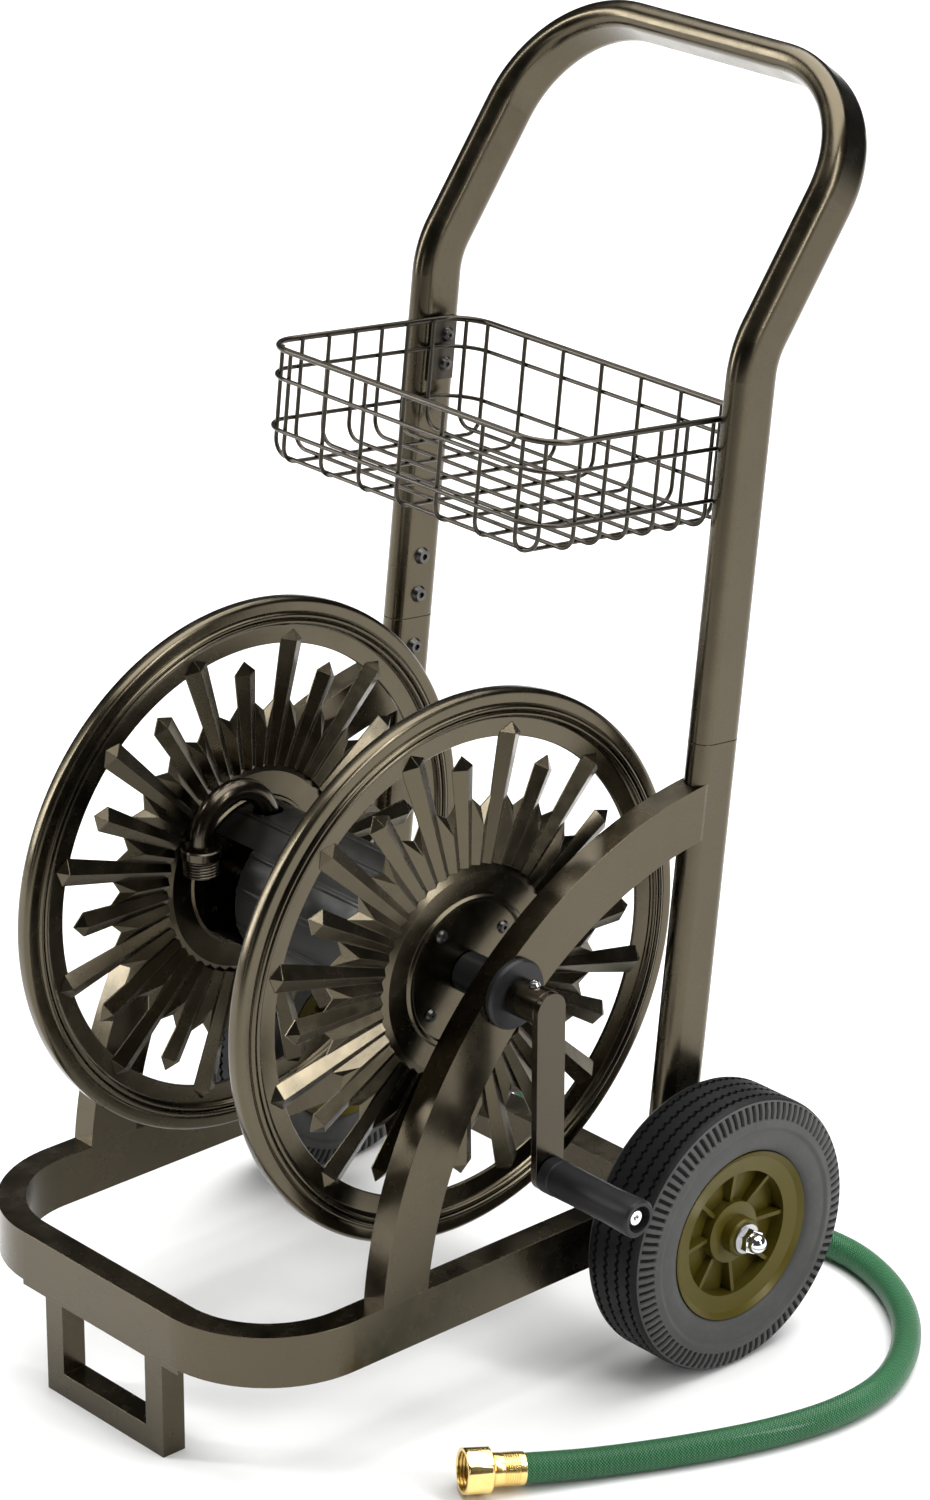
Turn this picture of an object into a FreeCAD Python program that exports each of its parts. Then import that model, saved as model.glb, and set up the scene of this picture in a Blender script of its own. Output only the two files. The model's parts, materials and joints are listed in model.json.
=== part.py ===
"""Two-wheeled garden hose reel cart.

A bent steel frame carries a hose reel between two side arches, a wire basket between the
uprights and two rubber-tyred wheels.  A leader hose feeds the reel's hollow axle.
Frame: +X towards the crank, +Y backwards, +Z up, origin on the ground under the front foot.
"""
import FreeCAD, Part
import Sketcher
import math
import os
import re

DRIVING = [
    ("wheel_radius", 101.6, "tyre outside radius, an 8 inch wheel"),
    ("wheel_inner", 178.7, "tyre's inner side, from the middle plane"),
    ("tyre_width", 58.4, "tyre width"),
    ("tyre_bore", 61.3, "radius where the tyre sits on the rim"),
    ("rim_step", 46.6, "inner radius of the rim's flat ring"),
    ("hub_radius", 22.8, "raised disc in the middle of the wheel"),
    ("bush_radius", 9.0, "outside of the wheel bush"),
    ("axle_radius", 5.0, "wheel axle rod"),
    ("axle_back", 373.5, "wheel axle, behind the foot"),
    ("running_gap", 0.05, "radial clearance of a running fit"),
    ("rail_outer", 168.0, "half width over the frame tubes"),
    ("tube_thick", 20.0, "frame tube, narrow side"),
    ("tube_deep", 40.0, "frame tube, wide side"),
    ("tube_wall", 1.5, "frame tube wall"),
    ("rail_bottom", 80.5, "underside of the base loop"),
    ("rail_tall", 38.0, "height of the base loop's tube"),
    ("rail_front", 15.0, "base loop's front face, ahead of the foot's middle"),
    ("rail_back", 395.5, "rear end of the base loop"),
    ("rail_corner", 88.0, "outside radius of the base loop's corners"),
    ("cross_front", 359.0, "front face of the rear crossbar"),
    ("cross_deep", 22.0, "rear crossbar, front to back"),
    ("cross_tall", 30.0, "rear crossbar height"),
    ("arch_back", 428.5, "centre of the arch, behind the foot"),
    ("arch_up", 88.0, "centre of the arch, height"),
    ("arch_outer", 331.0, "outside radius of the arch"),
    ("upright_back", 360.2, "upright's centre line where it would meet the ground"),
    ("upright_lean", 6.28, "degrees that the uprights lean back"),
    ("seam_up", 444.0, "joint between upright and handle, height"),
    ("kink_up", 714.3, "height where the handle bends back"),
    ("handle_lean", 36.3, "degrees that the handle's top leans back"),
    ("handle_reach", 200.0, "from the bend to the middle of the grip bar"),
    ("handle_corner", 85.0, "bend radius of the handle's corners"),
    ("kink_radius", 60.0, "bend radius where the handle leans back"),
    ("foot_half", 63.8, "half width of the front foot"),
    ("foot_deep", 19.0, "front foot, front to back"),
    ("foot_leg", 18.3, "width of the foot's legs"),
    ("plate_half", 85.0, "half width of the foot's top plate"),
    ("plate_thick", 6.0, "foot plate thickness"),
    ("reel_back", 214.3, "reel axis, behind the foot"),
    ("reel_up", 317.0, "reel axis height"),
    ("flange_radius", 198.0, "outside of the reel flanges"),
    ("flange_mid", 113.0, "flange middle plane, from the cart's middle plane"),
    ("flange_inner", 164.5, "inner radius of the flange's rim"),
    ("disc_radius", 76.5, "hub disc on each flange"),
    ("ring_radius", 53.0, "raised ring on the hub disc"),
    ("drum_radius", 52.0, "drum that the hose winds on"),
    ("shaft_radius", 11.0, "reel's hollow axle"),
    ("shaft_bore", 7.0, "water way in the axle"),
    ("bearing_radius", 15.0, "bearing sleeves in the arches"),
    ("arm_face", 207.0, "outer face of the crank arm"),
    ("arm_thick", 5.5, "crank arm thickness"),
    ("arm_half", 12.6, "half width of the crank arm"),
    ("crank_throw", 121.5, "from the reel axis to the grip's axis"),
    ("grip_end", 294.0, "outer end of the crank grip"),
    ("grip_radius", 13.4, "crank grip radius"),
    ("thread_radius", 13.3, "garden hose thread, crest radius"),
    ("neck_side", -85.0, "plane of the gooseneck outlet"),
    ("neck_radius", 30.5, "bend radius of the gooseneck"),
    ("neck_pipe", 8.0, "gooseneck pipe radius"),
    ("neck_up", 44.0, "centre of the gooseneck's bend above the reel axis"),
    ("hose_radius", 10.4, "leader hose, outside radius"),
    ("ferrule_radius", 11.8, "brass ferrules on the hose"),
    ("basket_back", 359.0, "middle of the basket rim"),
    ("basket_up", 675.9, "height of the middle of the basket rim"),
    ("basket_half", 144.0, "half width of the basket rim"),
    ("basket_deep", 95.0, "half depth of the basket rim"),
    ("basket_tall", 80.0, "rim to basket floor"),
    ("rim_wire", 2.2, "basket rim wire radius"),
    ("wire", 1.5, "basket grid wire radius"),
]
ALIASES = {row[0] for row in DRIVING}

doc = FreeCAD.newDocument("hose_reel_cart")
sizes = doc.addObject("Spreadsheet::Sheet", "Sizes")
for row, (alias, value, note) in enumerate(DRIVING, start=1):
    sizes.set(f"A{row}", note)
    sizes.set(f"B{row}", str(value))
    sizes.setAlias(f"B{row}", alias)
doc.recompute()

V = FreeCAD.Vector
Turn = FreeCAD.Rotation
X_AXIS = V(1, 0, 0)
Y_AXIS = V(0, 1, 0)
Z_AXIS = V(0, 0, 1)
AXIS_TO_X = Turn(Z_AXIS, -90)
nodes = {}


def size(alias):
    """A driving dimension as a number."""
    return float(sizes.get(alias))


def cell(text):
    """An expression with every alias pointing at the sheet."""
    return re.sub(r"[a-z_]{3,}", lambda m: "Sizes." + m.group() if m.group() in ALIASES else m.group(), text)


def bind(thing, **expressions):
    """Bind properties of a document object to the sheet."""
    for prop, text in expressions.items():
        thing.setExpression(prop, cell(str(text)))


def node(name, thing, at=None, turn=None):
    """Name a finished sub-part; its Label is its file's name."""
    thing.Label = name
    if at is not None or turn is not None:
        thing.Placement = FreeCAD.Placement(at or V(), turn or Turn())
    nodes[name] = thing
    return thing


def feature(name, shape):
    """A sub-part whose shape is made directly with Part's functions."""
    thing = doc.addObject("Part::Feature", name)
    thing.Shape = shape
    return node(name, thing)


# ---- sketches, pads and revolutions ----

def base_plane(body, role):
    return next(f for f in body.Origin.OriginFeatures if f.Role == role)


def outline(body, plane, corners):
    """A closed polygon sketch; each corner is a pair of expressions."""
    sketch = body.newObject("Sketcher::SketchObject", body.Name + "_outline")
    sketch.AttachmentSupport = [(base_plane(body, plane), "")]
    sketch.MapMode = "FlatFace"
    count = len(corners)
    angles = [2 * math.pi * i / count for i in range(count)]
    start = [V(50 + 20 * math.cos(a), 50 + 20 * math.sin(a), 0) for a in angles]
    for i in range(count):
        sketch.addGeometry(Part.LineSegment(start[i], start[(i + 1) % count]))
    for i in range(count):
        sketch.addConstraint(Sketcher.Constraint("Coincident", i, 2, (i + 1) % count, 1))
    for i, (across, along) in enumerate(corners):
        for kind, value, text in (("DistanceX", start[i].x, across), ("DistanceY", start[i].y, along)):
            index = sketch.addConstraint(Sketcher.Constraint(kind, -1, 1, i, 1, value))
            sketch.setExpression(f"Constraints[{index}]", cell(text))
    return sketch


def turned(name, profile, angle=360, reverse=False):
    """A body of revolution from (radius, along) corners, lying along X."""
    body = doc.addObject("PartDesign::Body", name)
    sketch = outline(body, "XY_Plane", profile)
    spin = body.newObject("PartDesign::Revolution", name + "_spin")
    spin.Profile = sketch
    spin.ReferenceAxis = (sketch, ["V_Axis"])
    spin.Reversed = reverse
    spin.Angle = angle
    body.Placement.Rotation = AXIS_TO_X
    return body


def padded(name, plane, corners, length):
    """A body padded from a polygon of expressions."""
    body = doc.addObject("PartDesign::Body", name)
    sketch = outline(body, plane, corners)
    pad = body.newObject("PartDesign::Pad", name + "_pad")
    pad.Profile = sketch
    bind(pad, Length=length)
    return body


def along_axis(body, back, up, side=0):
    """Put a turned body on an axis parallel to X."""
    body.setExpression(".Placement.Base.x", cell(str(side)))
    body.setExpression(".Placement.Base.y", cell(str(back)))
    body.setExpression(".Placement.Base.z", cell(str(up)))
    return body


# ---- primitives and booleans ----

def cylinder(name, radius, height, at, turn=None):
    thing = doc.addObject("Part::Cylinder", name)
    bind(thing, Radius=radius, Height=height)
    thing.Placement = FreeCAD.Placement(at, turn or Turn())
    return thing


def block(name, lengths, at, turn=None):
    thing = doc.addObject("Part::Box", name)
    bind(thing, Length=lengths[0], Width=lengths[1], Height=lengths[2])
    thing.Placement = FreeCAD.Placement(at, turn or Turn())
    return thing


def cut(name, base, tool):
    thing = doc.addObject("Part::Cut", name)
    thing.Base = base
    thing.Tool = tool
    return thing


def fuse(name, parts):
    thing = doc.addObject("Part::MultiFuse", name)
    thing.Shapes = parts
    thing.Refine = True
    return thing


def group(name, parts):
    """Separate solids that share one node."""
    thing = doc.addObject("Part::Compound", name)
    thing.Links = parts
    return node(name, thing)


def along_x(x, y, z):
    return V(x, y, z), Turn(Y_AXIS, 90)


def rod(name, radius, start, end, y, z):
    """A cylinder parallel to X from x = start to x = end."""
    low = min(start, end)
    at, turn = along_x(low, y, z)
    return cylinder(name, radius, abs(end - start), at, turn)


def oval(name, length, inset, at, turn):
    """A flat-sided oval bar along its own Z, inset from the tube's outside."""
    radius = f"tube_thick / 2 - {inset}"
    half = (size("tube_deep") - size("tube_thick")) / 2
    middle = block(name + "_flat", (f"tube_thick - 2 * {inset}", "tube_deep - tube_thick", length),
                   V(inset - size("tube_thick") / 2, -half, 0))
    ends = [cylinder(f"{name}_round{i}", radius, length, V(0, y, 0)) for i, y in enumerate((-half, half))]
    bar = fuse(name, [middle] + ends)
    bar.Placement = FreeCAD.Placement(at, turn)
    return bar


# ---- frame ----

LEAN = math.radians(size("upright_lean"))
TILT = Turn(X_AXIS, -size("upright_lean"))
TUBE_MID = size("rail_outer") - size("tube_thick") / 2
TUBE_INSIDE = size("rail_outer") - size("tube_thick")
RAIL_TOP = size("rail_bottom") + size("rail_tall")
SIDES = (("left", -1), ("right", 1))
LOWER_SCREWS = (422.3,)
UPPER_SCREWS = (461.8, 490.6)
BASKET_SCREWS = (654.0, 632.9)
BASKET_SCREW_BACK = 5.0
SCREW_RADIUS = 4.0
SMALL_SCREW_RADIUS = 3.0
SCREW_CLEARANCE = 0.3
FOOT_SCREW_SIDE = 75.0
FOOT_SCREW_BACK = -5.0


def on_upright(height, side=0):
    """A point on the centre line of the uprights."""
    return V(side, size("upright_back") + height * math.tan(LEAN), height)


def loop_body(name, inset):
    """The base loop's U-shaped outline as a solid, inset all round for its cavity."""
    outer = f"rail_outer - {inset}"
    inner = f"rail_outer - tube_thick + {inset}"
    rear = f"rail_back - {inset}"
    inner_front = f"tube_thick - rail_front - {inset}"
    outer_front = f"{inset} - rail_front"
    corners = [(outer, rear), (inner, rear), (inner, inner_front), (f"-({inner})", inner_front),
               (f"-({inner})", rear), (f"-({outer})", rear), (f"-({outer})", outer_front),
               (outer, outer_front)]
    body = padded(name, "XY_Plane", corners, f"rail_tall - 2 * {inset}")
    doc.recompute()
    round_corners(body, inset - size("rail_front"), f"rail_corner - {inset}")
    round_corners(body, size("tube_thick") - size("rail_front") - inset,
                  f"rail_corner - tube_thick + {inset}")
    body.Placement.Base = V(0, 0, size("rail_bottom") + inset)
    return body


def round_corners(body, front, radius):
    """Fillet the upright edges of a padded outline that stand at one distance from the foot."""
    base = body.Tip
    fillet = body.newObject("PartDesign::Fillet", body.Name + "_bend")
    fillet.Base = (base, corner_edges(base.Shape, front))
    bind(fillet, Radius=radius)
    doc.recompute()


def corner_edges(shape, front):
    """Names of the upright edges at the front corners."""
    names = []
    for index, edge in enumerate(shape.Edges, start=1):
        ends = [vertex.Point for vertex in edge.Vertexes]
        at_front = all(abs(end.y - front) < 0.01 for end in ends)
        if at_front and len(ends) == 2 and abs(ends[0].z - ends[1].z) > 10:
            names.append(f"Edge{index}")
    return names


def frame_hole(side, sign):
    """The hole that the wheel axle passes through."""
    radius = "axle_radius + 0.2"
    return rod(f"axle_hole_{side}", radius, sign * (TUBE_INSIDE - 1), sign * (size("rail_outer") + 1),
               size("axle_back"), size("wheel_radius"))


def base_loop():
    shell = cut("base_shell", loop_body("base_outer", 0), loop_body("base_cavity", size("tube_wall")))
    holes = [frame_hole(side, sign) for side, sign in SIDES]
    holes = fuse("base_holes", holes + foot_holes("base_screw_hole", size("rail_bottom") - 1, 4))
    node("base_loop", cut("base_loop", shell, holes))


def rear_crossbar():
    wall = size("tube_wall")
    low = RAIL_TOP - size("cross_tall")
    inside = TUBE_INSIDE
    front = size("cross_front")
    outer = block("cross_outer", (2 * inside, "cross_deep", "cross_tall"), V(-inside, front, low))
    cavity = block("cross_cavity", (2 * inside, f"cross_deep - 2 * {wall}", f"cross_tall - 2 * {wall}"),
                   V(-inside, front + wall, low + wall))
    node("rear_crossbar", cut("rear_crossbar", outer, cavity))


def arch_bend(name, inset):
    """The arch's rectangular tube, bent through rather more than its finished length."""
    profile = [(f"arch_outer - tube_deep + {inset}", f"{inset} - tube_thick / 2"),
               (f"arch_outer - {inset}", f"{inset} - tube_thick / 2"),
               (f"arch_outer - {inset}", f"tube_thick / 2 - {inset}"),
               (f"arch_outer - tube_deep + {inset}", f"tube_thick / 2 - {inset}")]
    return turned(name, profile, angle=88, reverse=True)


def side_arch(side, sign):
    wall = size("tube_wall")
    middle = f"{sign} * (rail_outer - tube_thick / 2)"
    bends = [along_axis(arch_bend(f"arch_{part}_{side}", inset), "arch_back", "arch_up", middle)
             for part, inset in (("outer", 0), ("cavity", wall))]
    tube = cut(f"arch_tube_{side}", bends[0], bends[1])
    x = sign * TUBE_MID - 15
    below = block(f"arch_below_{side}", (30, 200, 60), V(x, 50, RAIL_TOP - 60))
    behind = oval(f"arch_behind_{side}", 500, 0, on_upright(RAIL_TOP, sign * TUBE_MID), TILT)
    beyond = block(f"arch_beyond_{side}", (30, 200, 500), on_upright(RAIL_TOP, x), TILT)
    bore = rod(f"arch_bore_{side}", "bearing_radius", sign * (TUBE_INSIDE - 1),
               sign * (size("rail_outer") + 1), size("reel_back"), size("reel_up"))
    tool = fuse(f"arch_trim_{side}", [below, behind, beyond, bore])
    name = f"side_arch_{side}"
    node(name, cut(name, tube, tool))


def upright(side, sign):
    length = (size("seam_up") - RAIL_TOP) / math.cos(LEAN)
    foot = on_upright(RAIL_TOP, sign * TUBE_MID)
    spare = 10
    start = foot - TILT.multVec(Z_AXIS) * spare
    shells = [oval(f"upright_{part}_{side}", length + spare, inset, start, TILT)
              for part, inset in (("outer", 0), ("cavity", size("tube_wall")))]
    below = block(f"upright_below_{side}", (40, 80, 20), foot - V(20, 40, 20))
    name = f"upright_{side}"
    tube = cut(name + "_tube", shells[0], shells[1])
    holes = screw_holes(side, sign, LOWER_SCREWS)
    node(name, cut(name, tube, fuse(name + "_trim", [below] + holes)))


def screw_holes(side, sign, heights):
    """Holes in the tube's inner wall for the screws that hold the joint sleeve."""
    holes = []
    for height in heights:
        middle = on_upright(height)
        holes.append(rod(f"screw_hole_{side}_{round(height)}", SCREW_RADIUS + SCREW_CLEARANCE,
                         sign * (TUBE_INSIDE - 1), sign * (TUBE_INSIDE + 4), middle.y, middle.z))
    return holes


def joint_sleeve(side, sign):
    """Inner sleeve that joins the handle to the upright."""
    fit = size("tube_wall") + 0.3
    start = on_upright(400, sign * TUBE_MID)
    shells = [oval(f"sleeve_{part}_{side}", 112, inset, start, TILT)
              for part, inset in (("outer", fit), ("cavity", fit + 2))]
    tube = cut(f"sleeve_tube_{side}", shells[0], shells[1])
    holes = []
    for height in LOWER_SCREWS + UPPER_SCREWS:
        middle = on_upright(height)
        holes.append(rod(f"sleeve_hole_{side}_{round(height)}", SCREW_RADIUS, sign * (TUBE_INSIDE + 1),
                         sign * (TUBE_INSIDE + 6), middle.y, middle.z))
    name = f"joint_sleeve_{side}"
    node(name, cut(name, tube, fuse(name + "_holes", holes)))


def stadium(center, across, along, radius, half):
    """Closed wire: two straight sides joined by half circles."""
    side = across * radius
    end = along * half
    tip = along * (half + radius)
    corners = [center - side - end, center + side - end, center + side + end, center - side + end]
    return Part.Wire([Part.Arc(corners[0], center - tip, corners[1]).toShape(),
                      Part.LineSegment(corners[1], corners[2]).toShape(),
                      Part.Arc(corners[2], center + tip, corners[3]).toShape(),
                      Part.LineSegment(corners[3], corners[0]).toShape()])


def rounded_path(points, radii):
    """Straight runs joined by tangent arcs of the given radii."""
    edges = []
    last = points[0]
    for before, corner, after, radius in zip(points, points[1:], points[2:], radii):
        back = (before - corner).normalize()
        ahead = (after - corner).normalize()
        half_turn = (math.pi - back.getAngle(ahead)) / 2
        reach = radius * math.tan(half_turn)
        start = corner + back * reach
        end = corner + ahead * reach
        inward = (back + ahead).normalize()
        middle = corner + inward * (radius / math.cos(half_turn) - radius)
        edges.append(Part.LineSegment(last, start).toShape())
        edges.append(Part.Arc(start, middle, end).toShape())
        last = end
    edges.append(Part.LineSegment(last, points[-1]).toShape())
    return Part.Wire(edges)


SEAM_GAP = 0.6


def handle_tube():
    lean = math.radians(size("handle_lean"))
    upward = V(0, math.sin(lean), math.cos(lean))
    corners = []
    for sign in (-1, 1):
        kink = on_upright(size("kink_up"), sign * TUBE_MID)
        foot = on_upright(size("seam_up") + SEAM_GAP, sign * TUBE_MID)
        leg = [foot, kink, kink + upward * size("handle_reach")]
        corners += leg if sign < 0 else leg[::-1]
    radii = [size("kink_radius"), size("handle_corner"), size("handle_corner"), size("kink_radius")]
    path = rounded_path(corners, radii)
    half = (size("tube_deep") - size("tube_thick")) / 2
    shells = []
    for inset in (0, size("tube_wall")):
        ring = stadium(corners[0], X_AXIS, TILT.multVec(Y_AXIS), size("tube_thick") / 2 - inset, half)
        shells.append(path.makePipeShell([ring], True, False))
    tube = shells[0].cut(shells[1])
    for sign in (-1, 1):
        rows = [(height, 0, SCREW_RADIUS) for height in UPPER_SCREWS]
        rows += [(height, BASKET_SCREW_BACK, SMALL_SCREW_RADIUS) for height in BASKET_SCREWS]
        for height, back, radius in rows:
            middle = on_upright(height, sign * (TUBE_INSIDE - 1)) + V(0, back, 0)
            tube = tube.cut(Part.makeCylinder(radius + SCREW_CLEARANCE, 5, middle, X_AXIS * sign))
    feature("handle_tube", tube)


# ---- fasteners ----

def socket_screw(name, at, direction, radius, shank, head=1.65):
    """Button-head screw; its head stands on the point and its shank runs along direction."""
    high = radius * 0.9
    turn = Turn(Z_AXIS, direction)
    back = at - direction * high
    body = cylinder(name + "_shank", radius, shank + high / 2, at - direction * (high / 2), turn)
    cap = doc.addObject("Part::Cone", name + "_cap")
    cap.Radius1 = radius * head * 0.72
    cap.Radius2 = radius * head
    cap.Height = high
    cap.Placement = FreeCAD.Placement(back, turn)
    socket = doc.addObject("Part::Prism", name + "_socket")
    socket.Polygon = 6
    socket.Circumradius = radius * 0.62
    socket.Height = high * 0.7 + 0.5
    socket.Placement = FreeCAD.Placement(back - direction * 0.5, turn)
    return cut(name, fuse(name + "_blank", [body, cap]), socket)


def hex_nut(name, at, direction, bore, across, height):
    """Plain hexagon nut standing on the point."""
    turn = Turn(Z_AXIS, direction)
    prism = doc.addObject("Part::Prism", name + "_hex")
    prism.Polygon = 6
    prism.Circumradius = across / math.sqrt(3)
    prism.Height = height
    prism.Placement = FreeCAD.Placement(at, turn)
    hole = cylinder(name + "_bore", bore, height + 2, at - direction, turn)
    return cut(name, prism, hole)


def handle_screws():
    screws = []
    for side, sign in SIDES:
        for height in LOWER_SCREWS + UPPER_SCREWS:
            at = on_upright(height, sign * TUBE_INSIDE)
            screws.append(socket_screw(f"handle_screw_{side}_{round(height)}", at, X_AXIS * sign,
                                       SCREW_RADIUS - 0.1, 5))
    group("handle_screws", screws)


# ---- front foot ----

def foot_frame():
    """U-shaped foot: two legs and a sole, open at the top under its plate."""
    top = size("rail_bottom") - size("plate_thick")
    outer = [("foot_half", "0"), ("foot_half", top), ("foot_half - foot_leg", top),
             ("foot_half - foot_leg", "foot_leg"), ("foot_leg - foot_half", "foot_leg"),
             ("foot_leg - foot_half", top), ("-foot_half", top), ("-foot_half", "0")]
    body = padded("foot_solid", "XZ_Plane", [(a, str(b)) for a, b in outer], "foot_deep")
    body.setExpression(".Placement.Base.y", cell("foot_deep / 2"))
    wall = 2.0
    legs = [block(f"foot_leg_{i}", (f"foot_leg - {2 * wall}", f"foot_deep - {2 * wall}", top - wall),
                  V(x, wall - size("foot_deep") / 2, wall))
            for i, x in enumerate((wall - size("foot_half"), size("foot_half") - size("foot_leg") + wall))]
    sole_size = (f"2 * foot_half - {2 * wall}", f"foot_deep - {2 * wall}", f"foot_leg - {2 * wall}")
    sole = block("foot_sole", sole_size, V(wall - size("foot_half"), wall - size("foot_deep") / 2, wall))
    node("front_foot", cut("front_foot", body, fuse("foot_cavity", legs + [sole])))


def foot_holes(name, low, height):
    """Clearance holes for the two screws that hold the foot's plate."""
    radius = SMALL_SCREW_RADIUS + SCREW_CLEARANCE
    return [cylinder(f"{name}_{i}", radius, height, V(x, FOOT_SCREW_BACK, low))
            for i, x in enumerate((-FOOT_SCREW_SIDE, FOOT_SCREW_SIDE))]


def foot_plate():
    low = size("rail_bottom") - size("plate_thick")
    plate = block("foot_plate_blank", ("2 * plate_half", 24, "plate_thick"),
                  V(-size("plate_half"), -12.5, low))
    holes = foot_holes("foot_plate_hole", low - 1, size("plate_thick") + 2)
    node("foot_plate", cut("foot_plate", plate, fuse("foot_plate_holes", holes)))
    screws = [socket_screw(f"foot_screw_{i}", V(x, FOOT_SCREW_BACK, low), Z_AXIS, SMALL_SCREW_RADIUS,
                           size("plate_thick") + 3)
              for i, x in enumerate((-FOOT_SCREW_SIDE, FOOT_SCREW_SIDE))]
    group("foot_screws", screws)


# ---- basket ----

RING_DROPS = (20.5, 57.0)
RIM_CORNER = 26.0
GRID_GAP = 2.8
FLOOR_GAP = 2.7
FLOOR_BEND = 12.0


def basket_point(across, deep, high):
    """A point in the basket's own frame: across, backwards along its rim, and up its walls."""
    middle = V(0, size("basket_back"), size("basket_up"))
    return middle + V(across, 0, 0) + TILT.multVec(V(0, deep, high))


def wire_solid(points, radii, radius):
    path = rounded_path(points, radii)
    start = path.Edges[0]
    ring = Part.Wire(Part.makeCircle(radius, points[0], start.tangentAt(start.FirstParameter)))
    return path.makePipeShell([ring], True, False)


def rim_ring(drop, radius):
    """Closed rounded rectangle of wire."""
    half, deep = size("basket_half"), size("basket_deep")
    corner = RIM_CORNER
    straights = []
    bends = []
    for k, (sx, sy) in enumerate(((1, 1), (-1, 1), (-1, -1), (1, -1))):
        center = basket_point(sx * (half - corner), sy * (deep - corner), -drop)
        bend = Part.makeTorus(corner, radius, V(), Z_AXIS, -180, 180, 90)
        bend.Placement = FreeCAD.Placement(center, TILT * Turn(Z_AXIS, 90 * k))
        bends.append(bend)
    for sign in (-1, 1):
        across = basket_point(corner - half, sign * deep, -drop)
        back = basket_point(sign * half, corner - deep, -drop)
        straights.append(Part.makeCylinder(radius, 2 * (half - corner), across, X_AXIS))
        straights.append(Part.makeCylinder(radius, 2 * (deep - corner), back, TILT.multVec(Y_AXIS)))
    return bends[0].multiFuse(bends[1:] + straights)


def wall_offset(place, full, other):
    """How far out a wall wire stands where the rim turns its corner."""
    inner = RIM_CORNER - GRID_GAP
    past = abs(place) - (other - RIM_CORNER)
    if past <= 0:
        return full - GRID_GAP
    return full - RIM_CORNER + math.sqrt(inner ** 2 - past ** 2)


def basket():
    half, deep, tall = size("basket_half"), size("basket_deep"), size("basket_tall")
    wires = [rim_ring(0, size("rim_wire"))] + [rim_ring(drop, size("wire")) for drop in RING_DROPS]
    for k in range(-3, 4):
        across = 39.3 * k
        reach = wall_offset(across, deep, half)
        points = [basket_point(across, -reach, 0), basket_point(across, -reach, -tall),
                  basket_point(across, reach, -tall), basket_point(across, reach, 0)]
        wires.append(wire_solid(points, [FLOOR_BEND] * 2, size("wire")))
    for k in range(8):
        place = 24.6 * (k - 3.5)
        reach = wall_offset(place, half, deep)
        floor = FLOOR_GAP - tall
        points = [basket_point(-reach, place, 0), basket_point(-reach, place, floor),
                  basket_point(reach, place, floor), basket_point(reach, place, 0)]
        wires.append(wire_solid(points, [FLOOR_BEND] * 2, size("wire")))
    feature("basket", wires[0].multiFuse(wires[1:]))


def basket_bracket(side, sign):
    """Flat plate on the basket's side, screwed to the inside of the upright."""
    low_x = TUBE_INSIDE - 2 if sign > 0 else -TUBE_INSIDE
    corner = on_upright(645, low_x) + TILT.multVec(V(0, -11, -23))
    plate = block(f"bracket_blank_{side}", (2, 24, 46), corner, TILT)
    holes = []
    for height in BASKET_SCREWS:
        at = on_upright(height)
        holes.append(rod(f"bracket_hole_{side}_{round(height)}", SMALL_SCREW_RADIUS + SCREW_CLEARANCE,
                         sign * (TUBE_INSIDE - 3),
                         sign * (TUBE_INSIDE + 1), at.y + BASKET_SCREW_BACK, at.z))
    name = f"basket_bracket_{side}"
    node(name, cut(name, plate, fuse(name + "_holes", holes)))


def basket_screws():
    screws = []
    for side, sign in SIDES:
        for height in BASKET_SCREWS:
            at = on_upright(height, sign * (TUBE_INSIDE - 2)) + V(0, BASKET_SCREW_BACK, 0)
            screws.append(socket_screw(f"basket_screw_{side}_{round(height)}", at, X_AXIS * sign,
                                       SMALL_SCREW_RADIUS, 6, 1.9))
    group("basket_screws", screws)


# ---- wheels ----

def mirrored(right_half):
    """A closed profile from its half above the middle plane."""
    return right_half + [(radius, f"-({along})") for radius, along in reversed(right_half)]


def wheel(side, sign):
    middle = f"{sign} * (wheel_inner + tyre_width / 2)"
    half = "tyre_width / 2"
    tyre = turned(f"tyre_{side}", mirrored([
        ("tyre_bore", "21.5"), ("tyre_bore + 4", "26.2"), ("wheel_radius - 24", f"{half} - 0.6"),
        ("wheel_radius - 18", half), ("wheel_radius - 9", "27.6"), ("wheel_radius - 2.4", "24.2"),
        ("wheel_radius", "19")]))
    rim = turned(f"rim_{side}", mirrored([
        ("bush_radius", half), ("bush_radius + 4", half), ("bush_radius + 5", f"{half} - 1.5"),
        ("bush_radius + 5", "19"), ("hub_radius", "17.5"), ("hub_radius", "9"), ("rim_step", "9"),
        ("rim_step", "20.5"), ("tyre_bore - 3", "22.5"), ("tyre_bore + 1.4", "25.4"),
        ("tyre_bore + 1.4", "23.6"), ("tyre_bore - 0.3", "21.2")]))
    bush = turned(f"wheel_bush_{side}", [
        ("axle_radius + running_gap", f"-({half})"), ("bush_radius - 0.02", f"-({half})"),
        ("bush_radius - 0.02", half), ("axle_radius + running_gap", half)])
    add_ribs(rim, side)
    for name, body in ((f"tyre_{side}", tyre), (f"rim_{side}", rim), (f"wheel_bush_{side}", bush)):
        node(name, along_axis(body, "axle_back", "wheel_radius", middle))


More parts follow.
